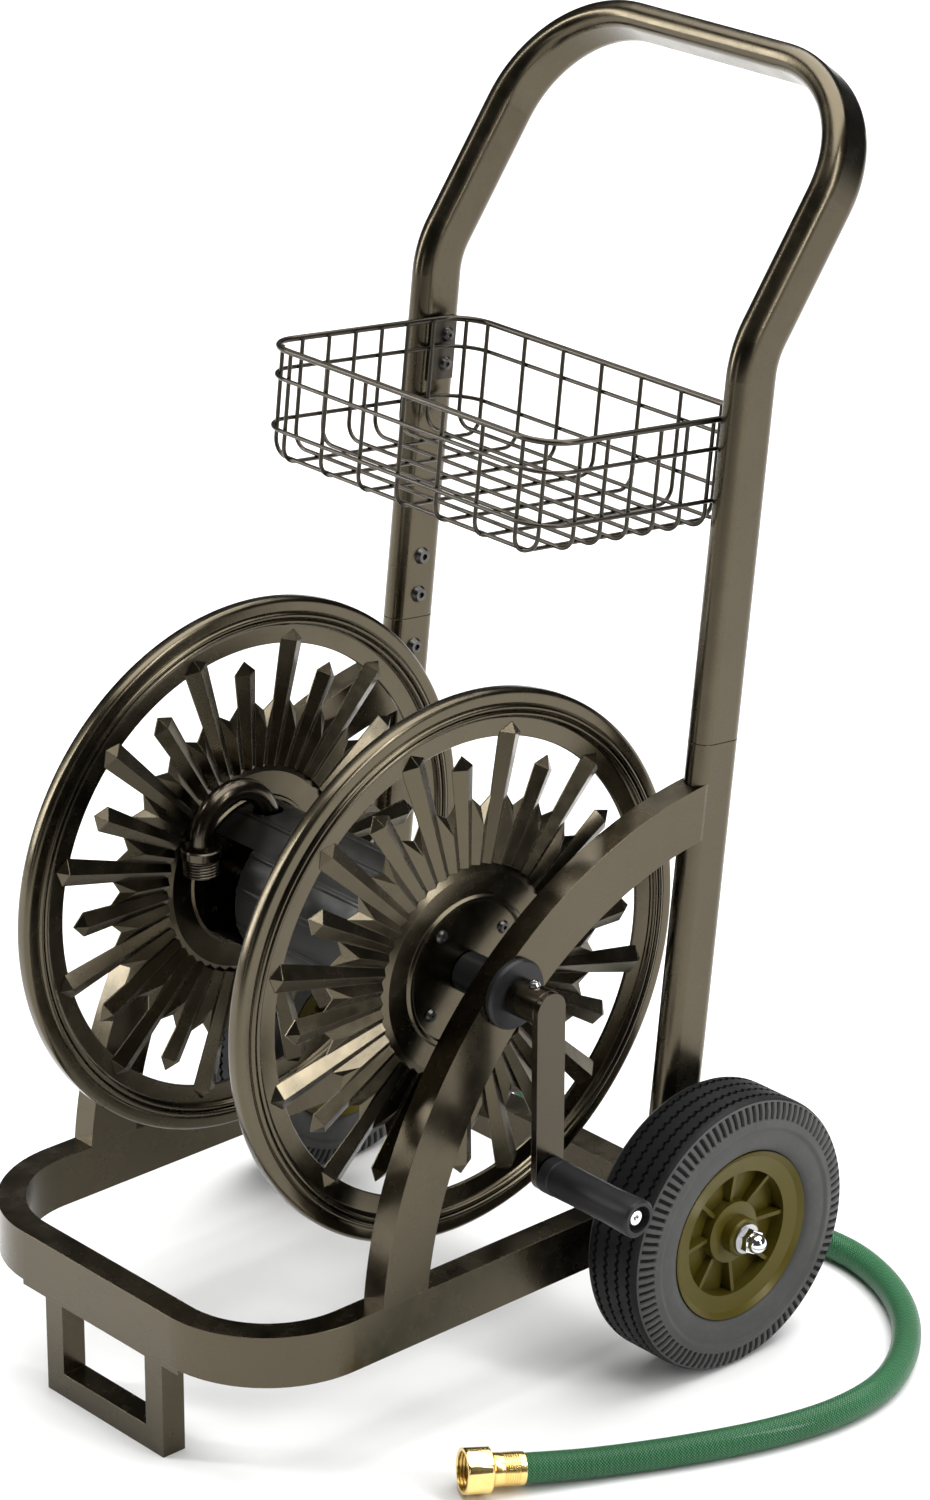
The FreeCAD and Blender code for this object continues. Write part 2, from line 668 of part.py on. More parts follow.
def add_ribs(rim, side):
    """Eight thin ribs on both faces of the wheel disc, from the hub to the rim's ring."""
    sketch = outline(rim, "XY_Plane", [("hub_radius - 1", "-14.5"), ("rim_step + 1", "-18.5"),
                                       ("rim_step + 1", "18.5"), ("hub_radius - 1", "14.5")])
    rib = rim.newObject("PartDesign::Pad", f"rib_{side}")
    rib.Profile = sketch
    rib.Length = 3.0
    rib.SideType = "Symmetric"
    pattern = rim.newObject("PartDesign::PolarPattern", f"ribs_{side}")
    pattern.Originals = [rib]
    pattern.Axis = (base_plane(rim, "Y_Axis"), [""])
    pattern.Angle = 360
    pattern.Occurrences = 8
    rim.Tip = pattern


def axle_parts():
    y, z = size("axle_back"), size("wheel_radius")
    inner = size("wheel_inner")
    outer = inner + size("tyre_width")
    side_gap = 0.4
    thick = 1.6
    node("wheel_axle", rod("wheel_axle", "axle_radius", -(outer + 8), outer + 8, y, z))
    spacers = []
    washers = []
    nuts = []
    for side, sign in SIDES:
        direction = X_AXIS * sign
        turn = Turn(Z_AXIS, direction)
        start = V(sign * size("rail_outer"), y, z)
        length = inner - side_gap - size("rail_outer")
        tube = cylinder(f"spacer_tube_{side}", "bush_radius", length, start, turn)
        hole = cylinder(f"spacer_hole_{side}", "axle_radius", length + 2, start - direction, turn)
        spacers.append(cut(f"spacer_{side}", tube, hole))
        face = V(sign * (outer + side_gap), y, z)
        disc = cylinder(f"washer_disc_{side}", "bush_radius + 2", thick, face, turn)
        eye = cylinder(f"washer_eye_{side}", "axle_radius", thick + 2, face - direction, turn)
        washers.append(cut(f"washer_{side}", disc, eye))
        nuts.append(acorn_nut(side, face + direction * thick, direction))
    group("axle_spacers", spacers)
    group("axle_washers", washers)
    group("acorn_nuts", nuts)


def acorn_nut(side, at, direction):
    """Domed cap nut on the axle's end."""
    turn = Turn(Z_AXIS, direction)
    skirt = doc.addObject("Part::Prism", f"acorn_hex_{side}")
    skirt.Polygon = 6
    skirt.Circumradius = 9.2
    skirt.Height = 7
    skirt.Placement = FreeCAD.Placement(at, turn)
    neck = cylinder(f"acorn_neck_{side}", 7.2, 9, at, turn)
    dome = doc.addObject("Part::Sphere", f"acorn_dome_{side}")
    dome.Radius = 7.2
    dome.Angle1 = 0
    dome.Placement = FreeCAD.Placement(at + direction * 9, turn)
    bore = cylinder(f"acorn_bore_{side}", "axle_radius", 7, at - direction, turn)
    return cut(f"acorn_{side}", fuse(f"acorn_blank_{side}", [skirt, neck, dome]), bore)


# ---- reel ----

WEB_FACE = 4.0
WEB_BACK = 1.0


def half_round(middle, radius, base, top):
    """Section of a bead as points (radius, height) from its inner foot to its outer foot."""
    points = []
    for angle in (0, 30, 60, 90, 120, 150, 180):
        across = middle - radius * math.cos(math.radians(angle))
        points.append((across, base + (top - base) * math.sin(math.radians(angle))))
    return points


def flange_rim(side, sign):
    """Pressed ring: a flat inner web, two round beads, a flat band and a rounded lip."""
    band = half_round(181.0, 2.1, 5.0, 7.6) + half_round(185.4, 2.1, 5.2, 8.0)
    lip = [(188.2, 6.2), (194.4, 6.2), (196.2, 5.6), (197.6, 4.2)]
    front = [("flange_inner", WEB_FACE), (177.6, WEB_FACE)] + band + lip + [("flange_radius", 2.4)]
    back = [("flange_inner", WEB_BACK), (177.6, WEB_BACK), (178.2, -4.6), (179.8, -6.2)] + lip_back()
    outline_points = front + [("flange_radius", -2.4)] + back[::-1]
    body = turned(f"flange_rim_{side}", [(str(radius), str(along)) for radius, along in outline_points])
    node(f"flange_rim_{side}", along_axis(body, "reel_back", "reel_up", f"{sign} * flange_mid"))


def lip_back():
    """The lip's points on the plain side of a flange."""
    return [(194.4, -6.2), (196.2, -5.6), (197.6, -4.2)]


RAY_EDGE = 1.0
RAY_SLOPE = 0.58
RAY_ROOT = 72.0
DISC_EDGE = 76.5
ROOT_HALF = 5.3
RAY_KINDS = (
    # first angle, step, radius and half width at the corners, radii of the end point and the crest's end
    (15.0, 30.0, 167.5, 10.0, 175.0, 167.5),
    (0.0, 30.0, 147.5, 9.2, 156.0, 147.5),
    (7.5, 15.0, 124.0, 8.8, 117.0, 105.0),
)


def ray_rise(radius):
    """How far a ray's edges stand out from the flange's middle plane; the star is dished."""
    return WEB_FACE + 4.2 * max(0.0, 168.0 - radius) / (168.0 - DISC_EDGE)


def ray(kind):
    """One ridged ray along +Y; a crest's end before the end point gives a notched end."""
    corner, corner_half, end, crest = kind

    def half(radius):
        return ROOT_HALF + (corner_half - ROOT_HALF) * (radius - DISC_EDGE) / (corner - DISC_EDGE)

    def side_points(radius, across, sign):
        """Edge point and crest point on the outer (+1) or inner (-1) face."""
        level = ray_rise(radius) - (RAY_EDGE if sign < 0 else 0)
        return V(level, radius, across), V(level + sign * RAY_SLOPE * half(radius), radius, 0)

    polygons = []
    ends = []
    rows = []
    for sign in (1, -1):
        left, crest_root = side_points(RAY_ROOT, half(RAY_ROOT), sign)
        right = side_points(RAY_ROOT, -half(RAY_ROOT), sign)[0]
        left_corner = side_points(corner, corner_half, sign)[0]
        right_corner = side_points(corner, -corner_half, sign)[0]
        crest_end = side_points(crest, 0, sign)[1]
        point = side_points(end, 0, sign)[0]
        polygons += [[left, crest_root, crest_end, left_corner], [right, crest_root, crest_end, right_corner],
                     [left_corner, crest_end, point], [right_corner, crest_end, point]]
        ends.append([left, crest_root, right])
        rows.append([left, left_corner, point, right_corner, right])
    polygons.append(ends[0] + ends[1][::-1])
    for (a, b), (c, d) in zip(zip(rows[0], rows[0][1:]), zip(rows[1], rows[1][1:])):
        polygons.append([a, b, d, c])
    faces = [Part.Face(Part.makePolygon(corners + [corners[0]])) for corners in polygons]
    return Part.makeSolid(Part.makeShell(faces))


def flange_star(side, sign):
    """Sunburst of ridged rays on a ring between the hub discs; both flanges are the same way round."""
    ring = Part.makeCylinder(79.5, 9, V(-4.5, 0, 0), X_AXIS)
    collar = Part.makeCylinder(79.5, 6.5, V(0, 0, 0), X_AXIS)
    rays = []
    for first, step, *kind in RAY_KINDS:
        for k in range(round(360 / step)):
            one = ray(kind)
            one.rotate(V(), X_AXIS, first + step * k)
            rays.append(one)
    star = ring.multiFuse([collar] + rays)
    star = star.cut(Part.makeCylinder(60, 30, V(-15, 0, 0), X_AXIS))
    for start, end in ((-15, -4.5), (4.5, 15)):
        star = star.cut(Part.makeCylinder(DISC_EDGE + 0.1, end - start, V(start, 0, 0), X_AXIS))
    web = Part.makeCylinder(size("flange_inner") + 30, WEB_FACE + 4, V(-4, 0, 0), X_AXIS)
    web = web.cut(Part.makeCylinder(size("flange_inner") - 0.1, WEB_FACE + 8, V(-6, 0, 0), X_AXIS))
    star = star.cut(web)
    star.translate(V(sign * size("flange_mid"), size("reel_back"), size("reel_up")))
    feature(f"flange_star_{side}", star)


HUB_SCREW_CIRCLE = 40.0
HUB_SCREW_RADIUS = 2.5
HUB_ANGLES = [math.radians(a) for a in (35, 125, 215, 305)]


def hub_disc(side, sign):
    """Dished disc over the roots of the rays, with a raised ring; outwards is +along."""
    profile = [("shaft_radius + 0.05", "6"), ("shaft_radius + 0.05", "10"), ("ring_radius - 3", "10"),
               ("ring_radius - 1.5", "13"), ("ring_radius + 1", "13"), ("ring_radius + 2.5", "11"),
               ("disc_radius - 5", "11"), ("disc_radius", "8.5"), ("disc_radius", "6"),
               ("disc_radius - 1", "4.6"), ("ring_radius + 6.5", "4.6"), ("ring_radius + 6.5", "6")]
    if sign < 0:
        profile = [(radius, f"-({along})") for radius, along in reversed(profile)]
    body = turned(f"hub_disc_blank_{side}", profile)
    along_axis(body, "reel_back", "reel_up", f"{sign} * flange_mid")
    holes = hub_holes(f"hub_hole_{side}", sign * (size("flange_mid") + 5), sign * (size("flange_mid") + 11))
    node(f"hub_disc_{side}", cut(f"hub_disc_{side}", body, holes))


def hub_place(angle, x):
    """A point on the hub screws' circle."""
    y = size("reel_back") + HUB_SCREW_CIRCLE * math.cos(angle)
    z = size("reel_up") + HUB_SCREW_CIRCLE * math.sin(angle)
    return V(x, y, z)


def hub_holes(name, start, end):
    """Clearance holes for the four hub screws."""
    holes = []
    for k, angle in enumerate(HUB_ANGLES):
        middle = hub_place(angle, 0)
        holes.append(rod(f"{name}_{k}", HUB_SCREW_RADIUS + 0.1, start, end, middle.y, middle.z))
    return fuse(name + "s", holes)


def hub_screws():
    screws = []
    for side, sign in SIDES:
        for k, angle in enumerate(HUB_ANGLES):
            at = hub_place(angle, sign * (size("flange_mid") + 10))
            name = f"hub_screw_{side}_{k}"
            screws.append(socket_screw(name, at, X_AXIS * -sign, HUB_SCREW_RADIUS, 15, 1.9))
    group("hub_screws", screws)


DRUM_END = 107.0
DRUM_RIBS = 12


def inner_disc(side, sign):
    """Plate on the winding side of a flange; the drum stands on it."""
    profile = [("shaft_radius + 0.05", "2"), ("ring_radius + 6.5", "2"), ("ring_radius + 6.5", "4.6"),
               ("disc_radius - 1", "4.6"), ("disc_radius", "6"), ("disc_radius", "8"),
               ("disc_radius - 4", "10"), ("ring_radius + 3", "10"), ("ring_radius + 2", "12"),
               ("ring_radius", "12"), ("ring_radius", "6"), ("shaft_radius + 0.05", "6")]
    profile = [(radius, f"{-sign} * ({along})") for radius, along in profile]
    if sign > 0:
        profile = profile[::-1]
    body = turned(f"inner_disc_blank_{side}", profile)
    along_axis(body, "reel_back", "reel_up", f"{sign} * flange_mid")
    holes = hub_holes(f"inner_hole_{side}", sign * (size("flange_mid") - 7), sign * (size("flange_mid") - 1))
    node(f"inner_disc_{side}", cut(f"inner_disc_{side}", body, holes))


def reel_drum():
    """Hollow drum with soft ribs, open at the front beside the outlet and above for its pipe."""
    y, z = size("reel_back"), size("reel_up")
    end = DRUM_END
    shell = rod("drum_shell", "drum_radius", -end, end, y, z)
    ribs = []
    for k in range(DRUM_RIBS):
        angle = 2 * math.pi * (k + 0.5) / DRUM_RIBS
        reach = size("drum_radius") - 3.6
        ribs.append(rod(f"drum_rib_{k}", 4.4, -end, end,
                        y + reach * math.cos(angle), z + reach * math.sin(angle)))
    hollow = rod("drum_hollow", "drum_radius - 3", -end - 1, end + 1, y, z)
    window = block("drum_window", (48, 45, 78), V(-end - 1, y - 65, z - 39))
    pipe_hole = cylinder("drum_pipe_hole", "neck_pipe + 3", 30, V(size("neck_side"), y, z + 38))
    tool = fuse("drum_openings", [hollow, window, pipe_hole])
    node("reel_drum", cut("reel_drum", fuse("drum_blank", [shell] + ribs), tool))


AXLE_INLET_END = -179.5
AXLE_CRANK_END = 199.0


def reel_axle():
    """Hollow axle; water enters its left end and leaves through the gooseneck."""
    y, z = size("reel_back"), size("reel_up")
    tube = rod("axle_tube", "shaft_radius", AXLE_INLET_END, AXLE_CRANK_END, y, z)
    bore = rod("axle_bore", "shaft_bore", AXLE_INLET_END - 1, size("neck_side") + 10, y, z)
    port = cylinder("axle_port", "shaft_bore - 1", 20, V(size("neck_side"), y, z))
    node("reel_axle", cut("reel_axle", tube, fuse("axle_ways", [bore, port])))


def gooseneck():
    """Pipe that rises out of the drum, turns over and ends above the outlet thread."""
    x, y, z = size("neck_side"), size("reel_back"), size("reel_up")
    rise = cylinder("neck_rise", "neck_pipe", "neck_up - shaft_radius", V(x, y, z + size("shaft_radius")))
    bend = doc.addObject("Part::Torus", "neck_bend")
    bind(bend, Radius1="neck_radius", Radius2="neck_pipe")
    bend.Angle3 = 180
    bend.Placement = FreeCAD.Placement(V(x, y - size("neck_radius"), z + size("neck_up")),
                                       Turn(V(0, 1, 0), V(0, 0, 1), V(1, 0, 0), "XYZ"))
    way = doc.addObject("Part::Torus", "neck_way")
    bind(way, Radius1="neck_radius", Radius2="shaft_bore - 1")
    way.Angle3 = 180
    way.Placement = bend.Placement
    drill = cylinder("neck_drill", "shaft_bore - 1", "neck_up", V(x, y, z))
    end = V(x, y - 2 * size("neck_radius"), z + size("neck_up"))
    drop = cylinder("neck_drop", "neck_pipe", 3, end - Z_AXIS * 3)
    mouth = cylinder("neck_mouth", "shaft_bore - 1", 4, end - Z_AXIS * 4)
    saddle = rod("neck_saddle", "shaft_radius", x - 12, x + 12, y, z)
    solid = fuse("neck_solid", [rise, bend, drop])
    node("gooseneck", cut("gooseneck", solid, fuse("neck_ways", [way, drill, mouth, saddle])))


THREAD_PITCH = 2.2
THREAD_DEPTH = 1.0


def threaded_end(name, length, collar, collar_radius):
    """Collar and male hose thread as ridges; the thread's free end is at along = 0."""
    profile = [("shaft_bore - 1", "0"), (f"thread_radius - {THREAD_DEPTH}", "0")]
    ridges = round(length / THREAD_PITCH)
    for k in range(ridges):
        low = k * THREAD_PITCH
        profile.append((f"thread_radius - {THREAD_DEPTH}", str(low + 0.3)))
        profile.append(("thread_radius", str(low + 1.0)))
        profile.append(("thread_radius", str(low + 1.5)))
    profile.append((f"thread_radius - {THREAD_DEPTH}", str(length)))
    profile.append((collar_radius, str(length + 0.6)))
    profile.append((collar_radius, str(length + collar - 1)))
    profile.append((f"{collar_radius} - 1", str(length + collar)))
    profile.append(("shaft_bore - 1", str(length + collar)))
    return turned(name, profile)


OUTLET_THREAD = 13.2
OUTLET_COLLAR = 7.0


def outlet_fitting():
    body = threaded_end("outlet_fitting", OUTLET_THREAD, OUTLET_COLLAR, "14.6")
    body.Placement = FreeCAD.Placement(
        V(size("neck_side"), size("reel_back") - 2 * size("neck_radius"),
          size("reel_up") + size("neck_up") - 3 - OUTLET_COLLAR - OUTLET_THREAD), Turn(X_AXIS, 90))
    node("outlet_fitting", body)


# ---- bearings, crank and inlet ----

def crank_bearing():
    """Plastic sleeve in the right arch, with a flange outside and a spacer nose towards the reel."""
    bore = "shaft_radius + running_gap"
    profile = [(bore, "-24"), ("bearing_radius - 0.5", "-24"), ("bearing_radius - 0.5", "0"),
               ("bearing_radius - 0.1", "0"), ("bearing_radius - 0.1", "20"), ("24", "20"),
               ("25", "21"), ("25", "24"), ("23.5", "26"), (bore, "26")]
    body = turned("crank_bearing", profile)
    node("crank_bearing", along_axis(body, "reel_back", "reel_up", "rail_outer - tube_thick"))


ARM_SOCKET_START = 176.0
SET_SCREW_SIDE = 190.0


def crank():
    y, z = size("reel_back"), size("reel_up")
    face, thick, throw = size("arm_face"), size("arm_thick"), size("crank_throw")
    inner = face - thick
    low = z - throw
    bar = block("arm_bar", ("arm_thick", "2 * arm_half", "crank_throw"), V(inner, y - size("arm_half"), low))
    ends = [rod(f"arm_end_{k}", "arm_half", inner, face, y, height) for k, height in enumerate((low, z))]
    socket = rod("arm_socket", "shaft_radius + 2.2", ARM_SOCKET_START, inner + 1, y, z)
    bore = rod("arm_bore", "shaft_radius + 0.05", ARM_SOCKET_START - 1, AXLE_CRANK_END + 0.1, y, z)
    eye = rod("arm_eye", 4, inner - 1, face + 1, y, low)
    tapped = cylinder("arm_tapped", 3, 8, V(SET_SCREW_SIDE, y, z + size("shaft_radius") - 1))
    blank = fuse("arm_blank", [bar, socket] + ends)
    node("crank_arm", cut("crank_arm", blank, fuse("arm_holes", [bore, eye, tapped])))
    seat = V(SET_SCREW_SIDE, y, z + size("shaft_radius") + 2.6)
    node("crank_set_screw", socket_screw("crank_set_screw", seat, V(0, 0, -1), 2.8, 2.4, 1.5))
    grip_parts(face, inner, y, low)


def grip_parts(face, inner, y, low):
    gap = 0.3
    end = size("grip_end")
    length = end - face - gap
    recess = 7.0
    profile = [("4.06", "0"), ("grip_radius - 1", "0"), ("grip_radius - 0.4", "0.8"),
               ("grip_radius - 0.4", "9"),
               ("grip_radius - 1.4", "9.6"), ("grip_radius - 1.4", "10.6"), ("grip_radius - 0.7", "11.4"),
               ("grip_radius - 0.9", "30"), ("grip_radius - 0.9", "60"),
               ("grip_radius - 0.2", str(length - 12)),
               ("grip_radius", str(length - 6)), ("grip_radius", str(length - 1.5)),
               ("grip_radius - 1.5", str(length)), ("grip_radius - 4", str(length)),
               ("grip_radius - 4.4", str(length - recess)), ("4.06", str(length - recess))]
    grip = along_axis(turned("crank_grip", profile), "reel_back", "reel_up - crank_throw", str(face + gap))
    node("crank_grip", grip)
    seat = end - recess + gap
    bolt = socket_screw("grip_bolt", V(seat, y, low), V(-1, 0, 0), 4.0, seat - inner + 7, 1.75)
    node("grip_bolt", bolt)
    node("grip_nut", hex_nut("grip_nut", V(inner, y, low), V(-1, 0, 0), 4.0, 13, 6.2))


INLET_SIDE = -192.0
INLET_STUB = 19.3
INLET_COLLAR = 5.0
INLET_THREAD = 12.0


def inlet_housing():
    """Elbow in the left arch: the axle turns in it and the leader hose screws onto its port."""
    y, z = size("reel_back"), size("reel_up")
    bore = "shaft_radius + running_gap"
    profile = [(bore, "24"), ("21", "24"), ("21", "20"), ("bearing_radius - 0.1", "20"),
               ("bearing_radius - 0.1", "-12"), ("16", "-12"), ("16", "-40"), ("13", "-44"), ("0", "-44"),
               ("0", "-40"), ("9", "-40"), ("9", "-14"), (bore, "-14"), (bore, "-6"),
               ("shaft_radius + 2", "-6"), ("shaft_radius + 2", "-3.5"), (bore, "-3.5"), (bore, "0"),
               ("shaft_radius + 2", "0"), ("shaft_radius + 2", "2.5"), (bore, "2.5")]
    body = along_axis(turned("inlet_body", profile), "reel_back", "reel_up", "-rail_outer")
    stub = cylinder("inlet_stub", 12, INLET_STUB - 8, V(INLET_SIDE, y + 8, z), Turn(X_AXIS, -90))
    way = cylinder("inlet_way", "shaft_bore - 1", INLET_STUB + 2, V(INLET_SIDE, y, z), Turn(X_AXIS, -90))
    node("inlet_housing", cut("inlet_housing", fuse("inlet_solid", [body, stub]), way))
    port = threaded_end("inlet_port", INLET_THREAD, INLET_COLLAR, "14.8")
    end = y + INLET_STUB + INLET_COLLAR + INLET_THREAD
    node("inlet_port", port, V(INLET_SIDE, end, z), Turn(Z_AXIS, 180))
    seat = V(-size("rail_outer"), y, z)
    node("inlet_locknut", hex_nut("inlet_locknut", seat, V(-1, 0, 0), "bearing_radius - 0.1", 38, 8))
    seals = []
    for k, start in enumerate((-6.0, 0.0)):
        low = start - size("rail_outer")
        ring = rod(f"seal_ring_{k}", "shaft_radius + 1.95", low + 0.1, low + 2.4, y, z)
        eye = rod(f"seal_eye_{k}", "shaft_radius + running_gap", low - 1, low + 4, y, z)
        seals.append(cut(f"seal_{k}", ring, eye))
    group("axle_seals", seals)


# ---- leader hose ----

HOSE_FLOOR = size("hose_radius")
HOSE_ROUTE = [
    (-192, 258.5, 317), (-192, 306, 317), (-196, 356, 302), (-205, 402, 273), (-214, 445, 230),
    (-226, 486, 172), (-228, 515, 107.6), (-193, 529.4, 46.8), (-132, 523.4, HOSE_FLOOR),
    (-68, 501.5, HOSE_FLOOR), (-20, 496.5, HOSE_FLOOR), (30, 498, HOSE_FLOOR), (84, 511, HOSE_FLOOR),
    (134, 529, HOSE_FLOOR), (184, 538, HOSE_FLOOR), (236, 524, HOSE_FLOOR), (280, 497, HOSE_FLOOR),
    (314, 460, HOSE_FLOOR), (337, 415, HOSE_FLOOR), (341, 364, HOSE_FLOOR), (330, 312, HOSE_FLOOR),
    (311, 262, HOSE_FLOOR), (288, 214, HOSE_FLOOR), (267, 171, 12.2), (244.4, 126, 17.3)]


def hose():
    """Leader hose on its own route, and what is on its ends."""
    points = [V(*p) for p in HOSE_ROUTE]
    radii = []
    for before, corner, after in zip(points, points[1:], points[2:]):
        runs = (corner - before).Length, (after - corner).Length
        half_turn = (corner - before).getAngle(after - corner) / 2
        radii.append(0.45 * min(runs) / math.tan(half_turn))
    path = rounded_path(points, radii)
    ring = Part.Wire(Part.makeCircle(size("hose_radius"), points[0], points[1] - points[0]))
    tube = path.makePipeShell([ring], True, False)
    feature("leader_hose", tube)
    expected = math.pi * size("hose_radius") ** 2 * path.Length
    print("hose length", round(path.Length), "smallest radius", round(min(radii)),
          "volume ratio", round(tube.Volume / expected, 4))
    print("radii", [round(radius) for radius in radii])
    inlet_way = (points[0] - points[1]).normalize()
    outlet_way = (points[-1] - points[-2]).normalize()
    hose_end("inlet", points[0], inlet_way)
    hose_end("outlet", points[-1], outlet_way)


def hose_end(name, at, way):
    """Ferrule crimped over the hose and a swivelling brass coupling nut beyond its end."""
    turn = Turn(Z_AXIS, way)
    length = 24.0
    sleeve = cylinder(f"{name}_sleeve", "ferrule_radius", length, at - way * length, turn)
    hole = cylinder(f"{name}_sleeve_hole", "hose_radius + 0.02", length + 2, at - way * (length + 1), turn)
    node(f"hose_ferrule_{name}", cut(f"{name}_ferrule", sleeve, hole))
    tail = cylinder(f"{name}_tail_stem", 9.0, 6.0, at, turn)
    lip = cylinder(f"{name}_tail_lip", 11.6, 1.6, at + way * 4.4, turn)
    way_through = cylinder(f"{name}_tail_way", "shaft_bore - 1", 8, at - way, turn)
    node(f"hose_tail_{name}", cut(f"{name}_tail", fuse(f"{name}_tail_blank", [tail, lip]), way_through))
    nut_blank = doc.addObject("Part::Prism", f"{name}_nut_hex")
    nut_blank.Polygon = 6
    nut_blank.Circumradius = 18.2
    nut_blank.Height = 18.5
    nut_blank.Placement = FreeCAD.Placement(at + way * 0.4, turn)
    skirt = cylinder(f"{name}_nut_round", 16.9, 18.5, at + way * 0.4, turn)
    body = doc.addObject("Part::Common", f"{name}_nut_body")
    body.Base = nut_blank
    body.Tool = skirt
    ways = [cylinder(f"{name}_nut_eye", 9.1, 10, at - way, turn),
            cylinder(f"{name}_nut_pocket", 12.8, 6, at + way * 4.3, turn),
            cylinder(f"{name}_nut_socket", "thread_radius + 0.1", 20, at + way * 8, turn)]
    node(f"coupling_nut_{name}", cut(f"{name}_nut", body, fuse(f"{name}_nut_ways", ways)))
    washer = cylinder(f"{name}_washer_disc", 12.6, 1.6, at + way * 6.2, turn)
    washer_eye = cylinder(f"{name}_washer_eye", "shaft_bore - 1", 4, at + way * 5, turn)
    node(f"hose_washer_{name}", cut(f"{name}_washer", washer, washer_eye))


def build():
    base_loop()
    rear_crossbar()
    foot_frame()
    foot_plate()
    handle_tube()
    basket()
    for side, sign in SIDES:
        side_arch(side, sign)
        upright(side, sign)
        joint_sleeve(side, sign)
        basket_bracket(side, sign)
        wheel(side, sign)
        flange_rim(side, sign)
        flange_star(side, sign)
        hub_disc(side, sign)
        inner_disc(side, sign)
    handle_screws()
    basket_screws()
    axle_parts()
    hub_screws()
    reel_drum()
    reel_axle()
    gooseneck()
    outlet_fitting()
    crank_bearing()
    crank()
    inlet_housing()
    hose()


def check():
    """Stop if any object failed or a sub-part's shape is missing or broken."""
    doc.recompute()
    for thing in doc.Objects:
        if "Invalid" in thing.State or "Error" in thing.State:
            raise RuntimeError(f"{thing.Name} failed: {thing.State}")
    for name, thing in nodes.items():
        if thing.Shape.isNull() or not thing.Shape.isValid() or thing.Shape.Volume <= 0:
            raise RuntimeError(f"{name} has no valid shape")


def write():
    os.makedirs("parts", exist_ok=True)
    for name, thing in nodes.items():
        thing.Shape.exportStep(f"parts/{name}.step")
    print(len(nodes), "nodes written")


build()
check()
write()
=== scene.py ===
"""Looks of the garden hose reel cart: materials, detailed pieces for some CAD nodes, and studio."""
import json
import math

import bpy
from mathutils import Matrix, Vector


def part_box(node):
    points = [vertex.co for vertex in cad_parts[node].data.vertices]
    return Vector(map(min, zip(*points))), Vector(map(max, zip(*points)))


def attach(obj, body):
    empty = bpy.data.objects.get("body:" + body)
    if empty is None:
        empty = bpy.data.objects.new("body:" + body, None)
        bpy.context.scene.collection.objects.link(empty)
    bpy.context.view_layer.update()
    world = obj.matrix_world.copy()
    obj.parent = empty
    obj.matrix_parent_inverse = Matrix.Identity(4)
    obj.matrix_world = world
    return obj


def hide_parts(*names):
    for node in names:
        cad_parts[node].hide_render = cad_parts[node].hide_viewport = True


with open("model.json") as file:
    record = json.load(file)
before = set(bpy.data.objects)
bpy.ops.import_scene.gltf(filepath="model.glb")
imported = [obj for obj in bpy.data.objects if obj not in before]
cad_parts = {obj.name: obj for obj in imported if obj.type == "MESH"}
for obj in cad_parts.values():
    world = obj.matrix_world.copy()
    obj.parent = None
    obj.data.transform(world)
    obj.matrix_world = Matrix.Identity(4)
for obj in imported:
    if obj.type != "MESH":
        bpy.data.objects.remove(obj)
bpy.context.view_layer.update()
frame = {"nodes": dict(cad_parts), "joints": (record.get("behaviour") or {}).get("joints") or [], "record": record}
MM = 0.001


# ---- small tools ----

def new_object(name, data, material=None):
    """An object around the data, in the scene."""
    piece = bpy.data.objects.new(name, data)
    bpy.context.scene.collection.objects.link(piece)
    if material is not None:
        data.materials.append(material)
    return piece


def mesh_object(name, points, faces, materials, smooth_angle=35, face_materials=None):
    """A mesh from points in millimetres, smooth except where it turns by more than the angle."""
    mesh = bpy.data.meshes.new(name)
    mesh.from_pydata([(x * MM, y * MM, z * MM) for x, y, z in points], [], faces)
    for material in materials:
        mesh.materials.append(material)
    if face_materials is not None:
        mesh.polygons.foreach_set("material_index", face_materials)
    soften(mesh, smooth_angle)
    return new_object(name, mesh)


def soften(mesh, angle):
    """Smooth shading, except over edges that turn by more than the angle."""
    mesh.polygons.foreach_set("use_smooth", [True] * len(mesh.polygons))
    mesh.set_sharp_from_angle(angle=math.radians(angle))
    mesh.update()


def arc(center, radius, start, end, steps):
    """Points on an arc, angles in degrees."""
    angles = [math.radians(start + (end - start) * i / steps) for i in range(steps + 1)]
    return [(center[0] + radius * math.cos(a), center[1] + radius * math.sin(a)) for a in angles]


def grid_faces(rows, columns):
    """Faces of a grid that closes on itself both ways."""
    faces = []
    for i in range(rows):
        for j in range(columns):
            here, ahead = i * columns, (i + 1) % rows * columns
            across = (j + 1) % columns
            faces.append((here + j, ahead + j, ahead + across, here + across))
    return faces


def spun(name, profile, middle, material, steps):
    """A closed (radius, along) profile turned round an axis parallel to X, in millimetres."""
    points = []
    for i in range(steps):
        angle = 2 * math.pi * i / steps
        c, s = math.cos(angle), math.sin(angle)
        points += [(middle[0] + along, middle[1] + r * c, middle[2] + r * s) for r, along in profile]
    faces = grid_faces(steps, len(profile))
    return mesh_object(name, points, faces, [material])


def in_mm(point):
    return [value / MM for value in point]


# ---- materials ----
# Noise scales are cells per metre. Bump depths and edge radii are metres. Colours are linear.

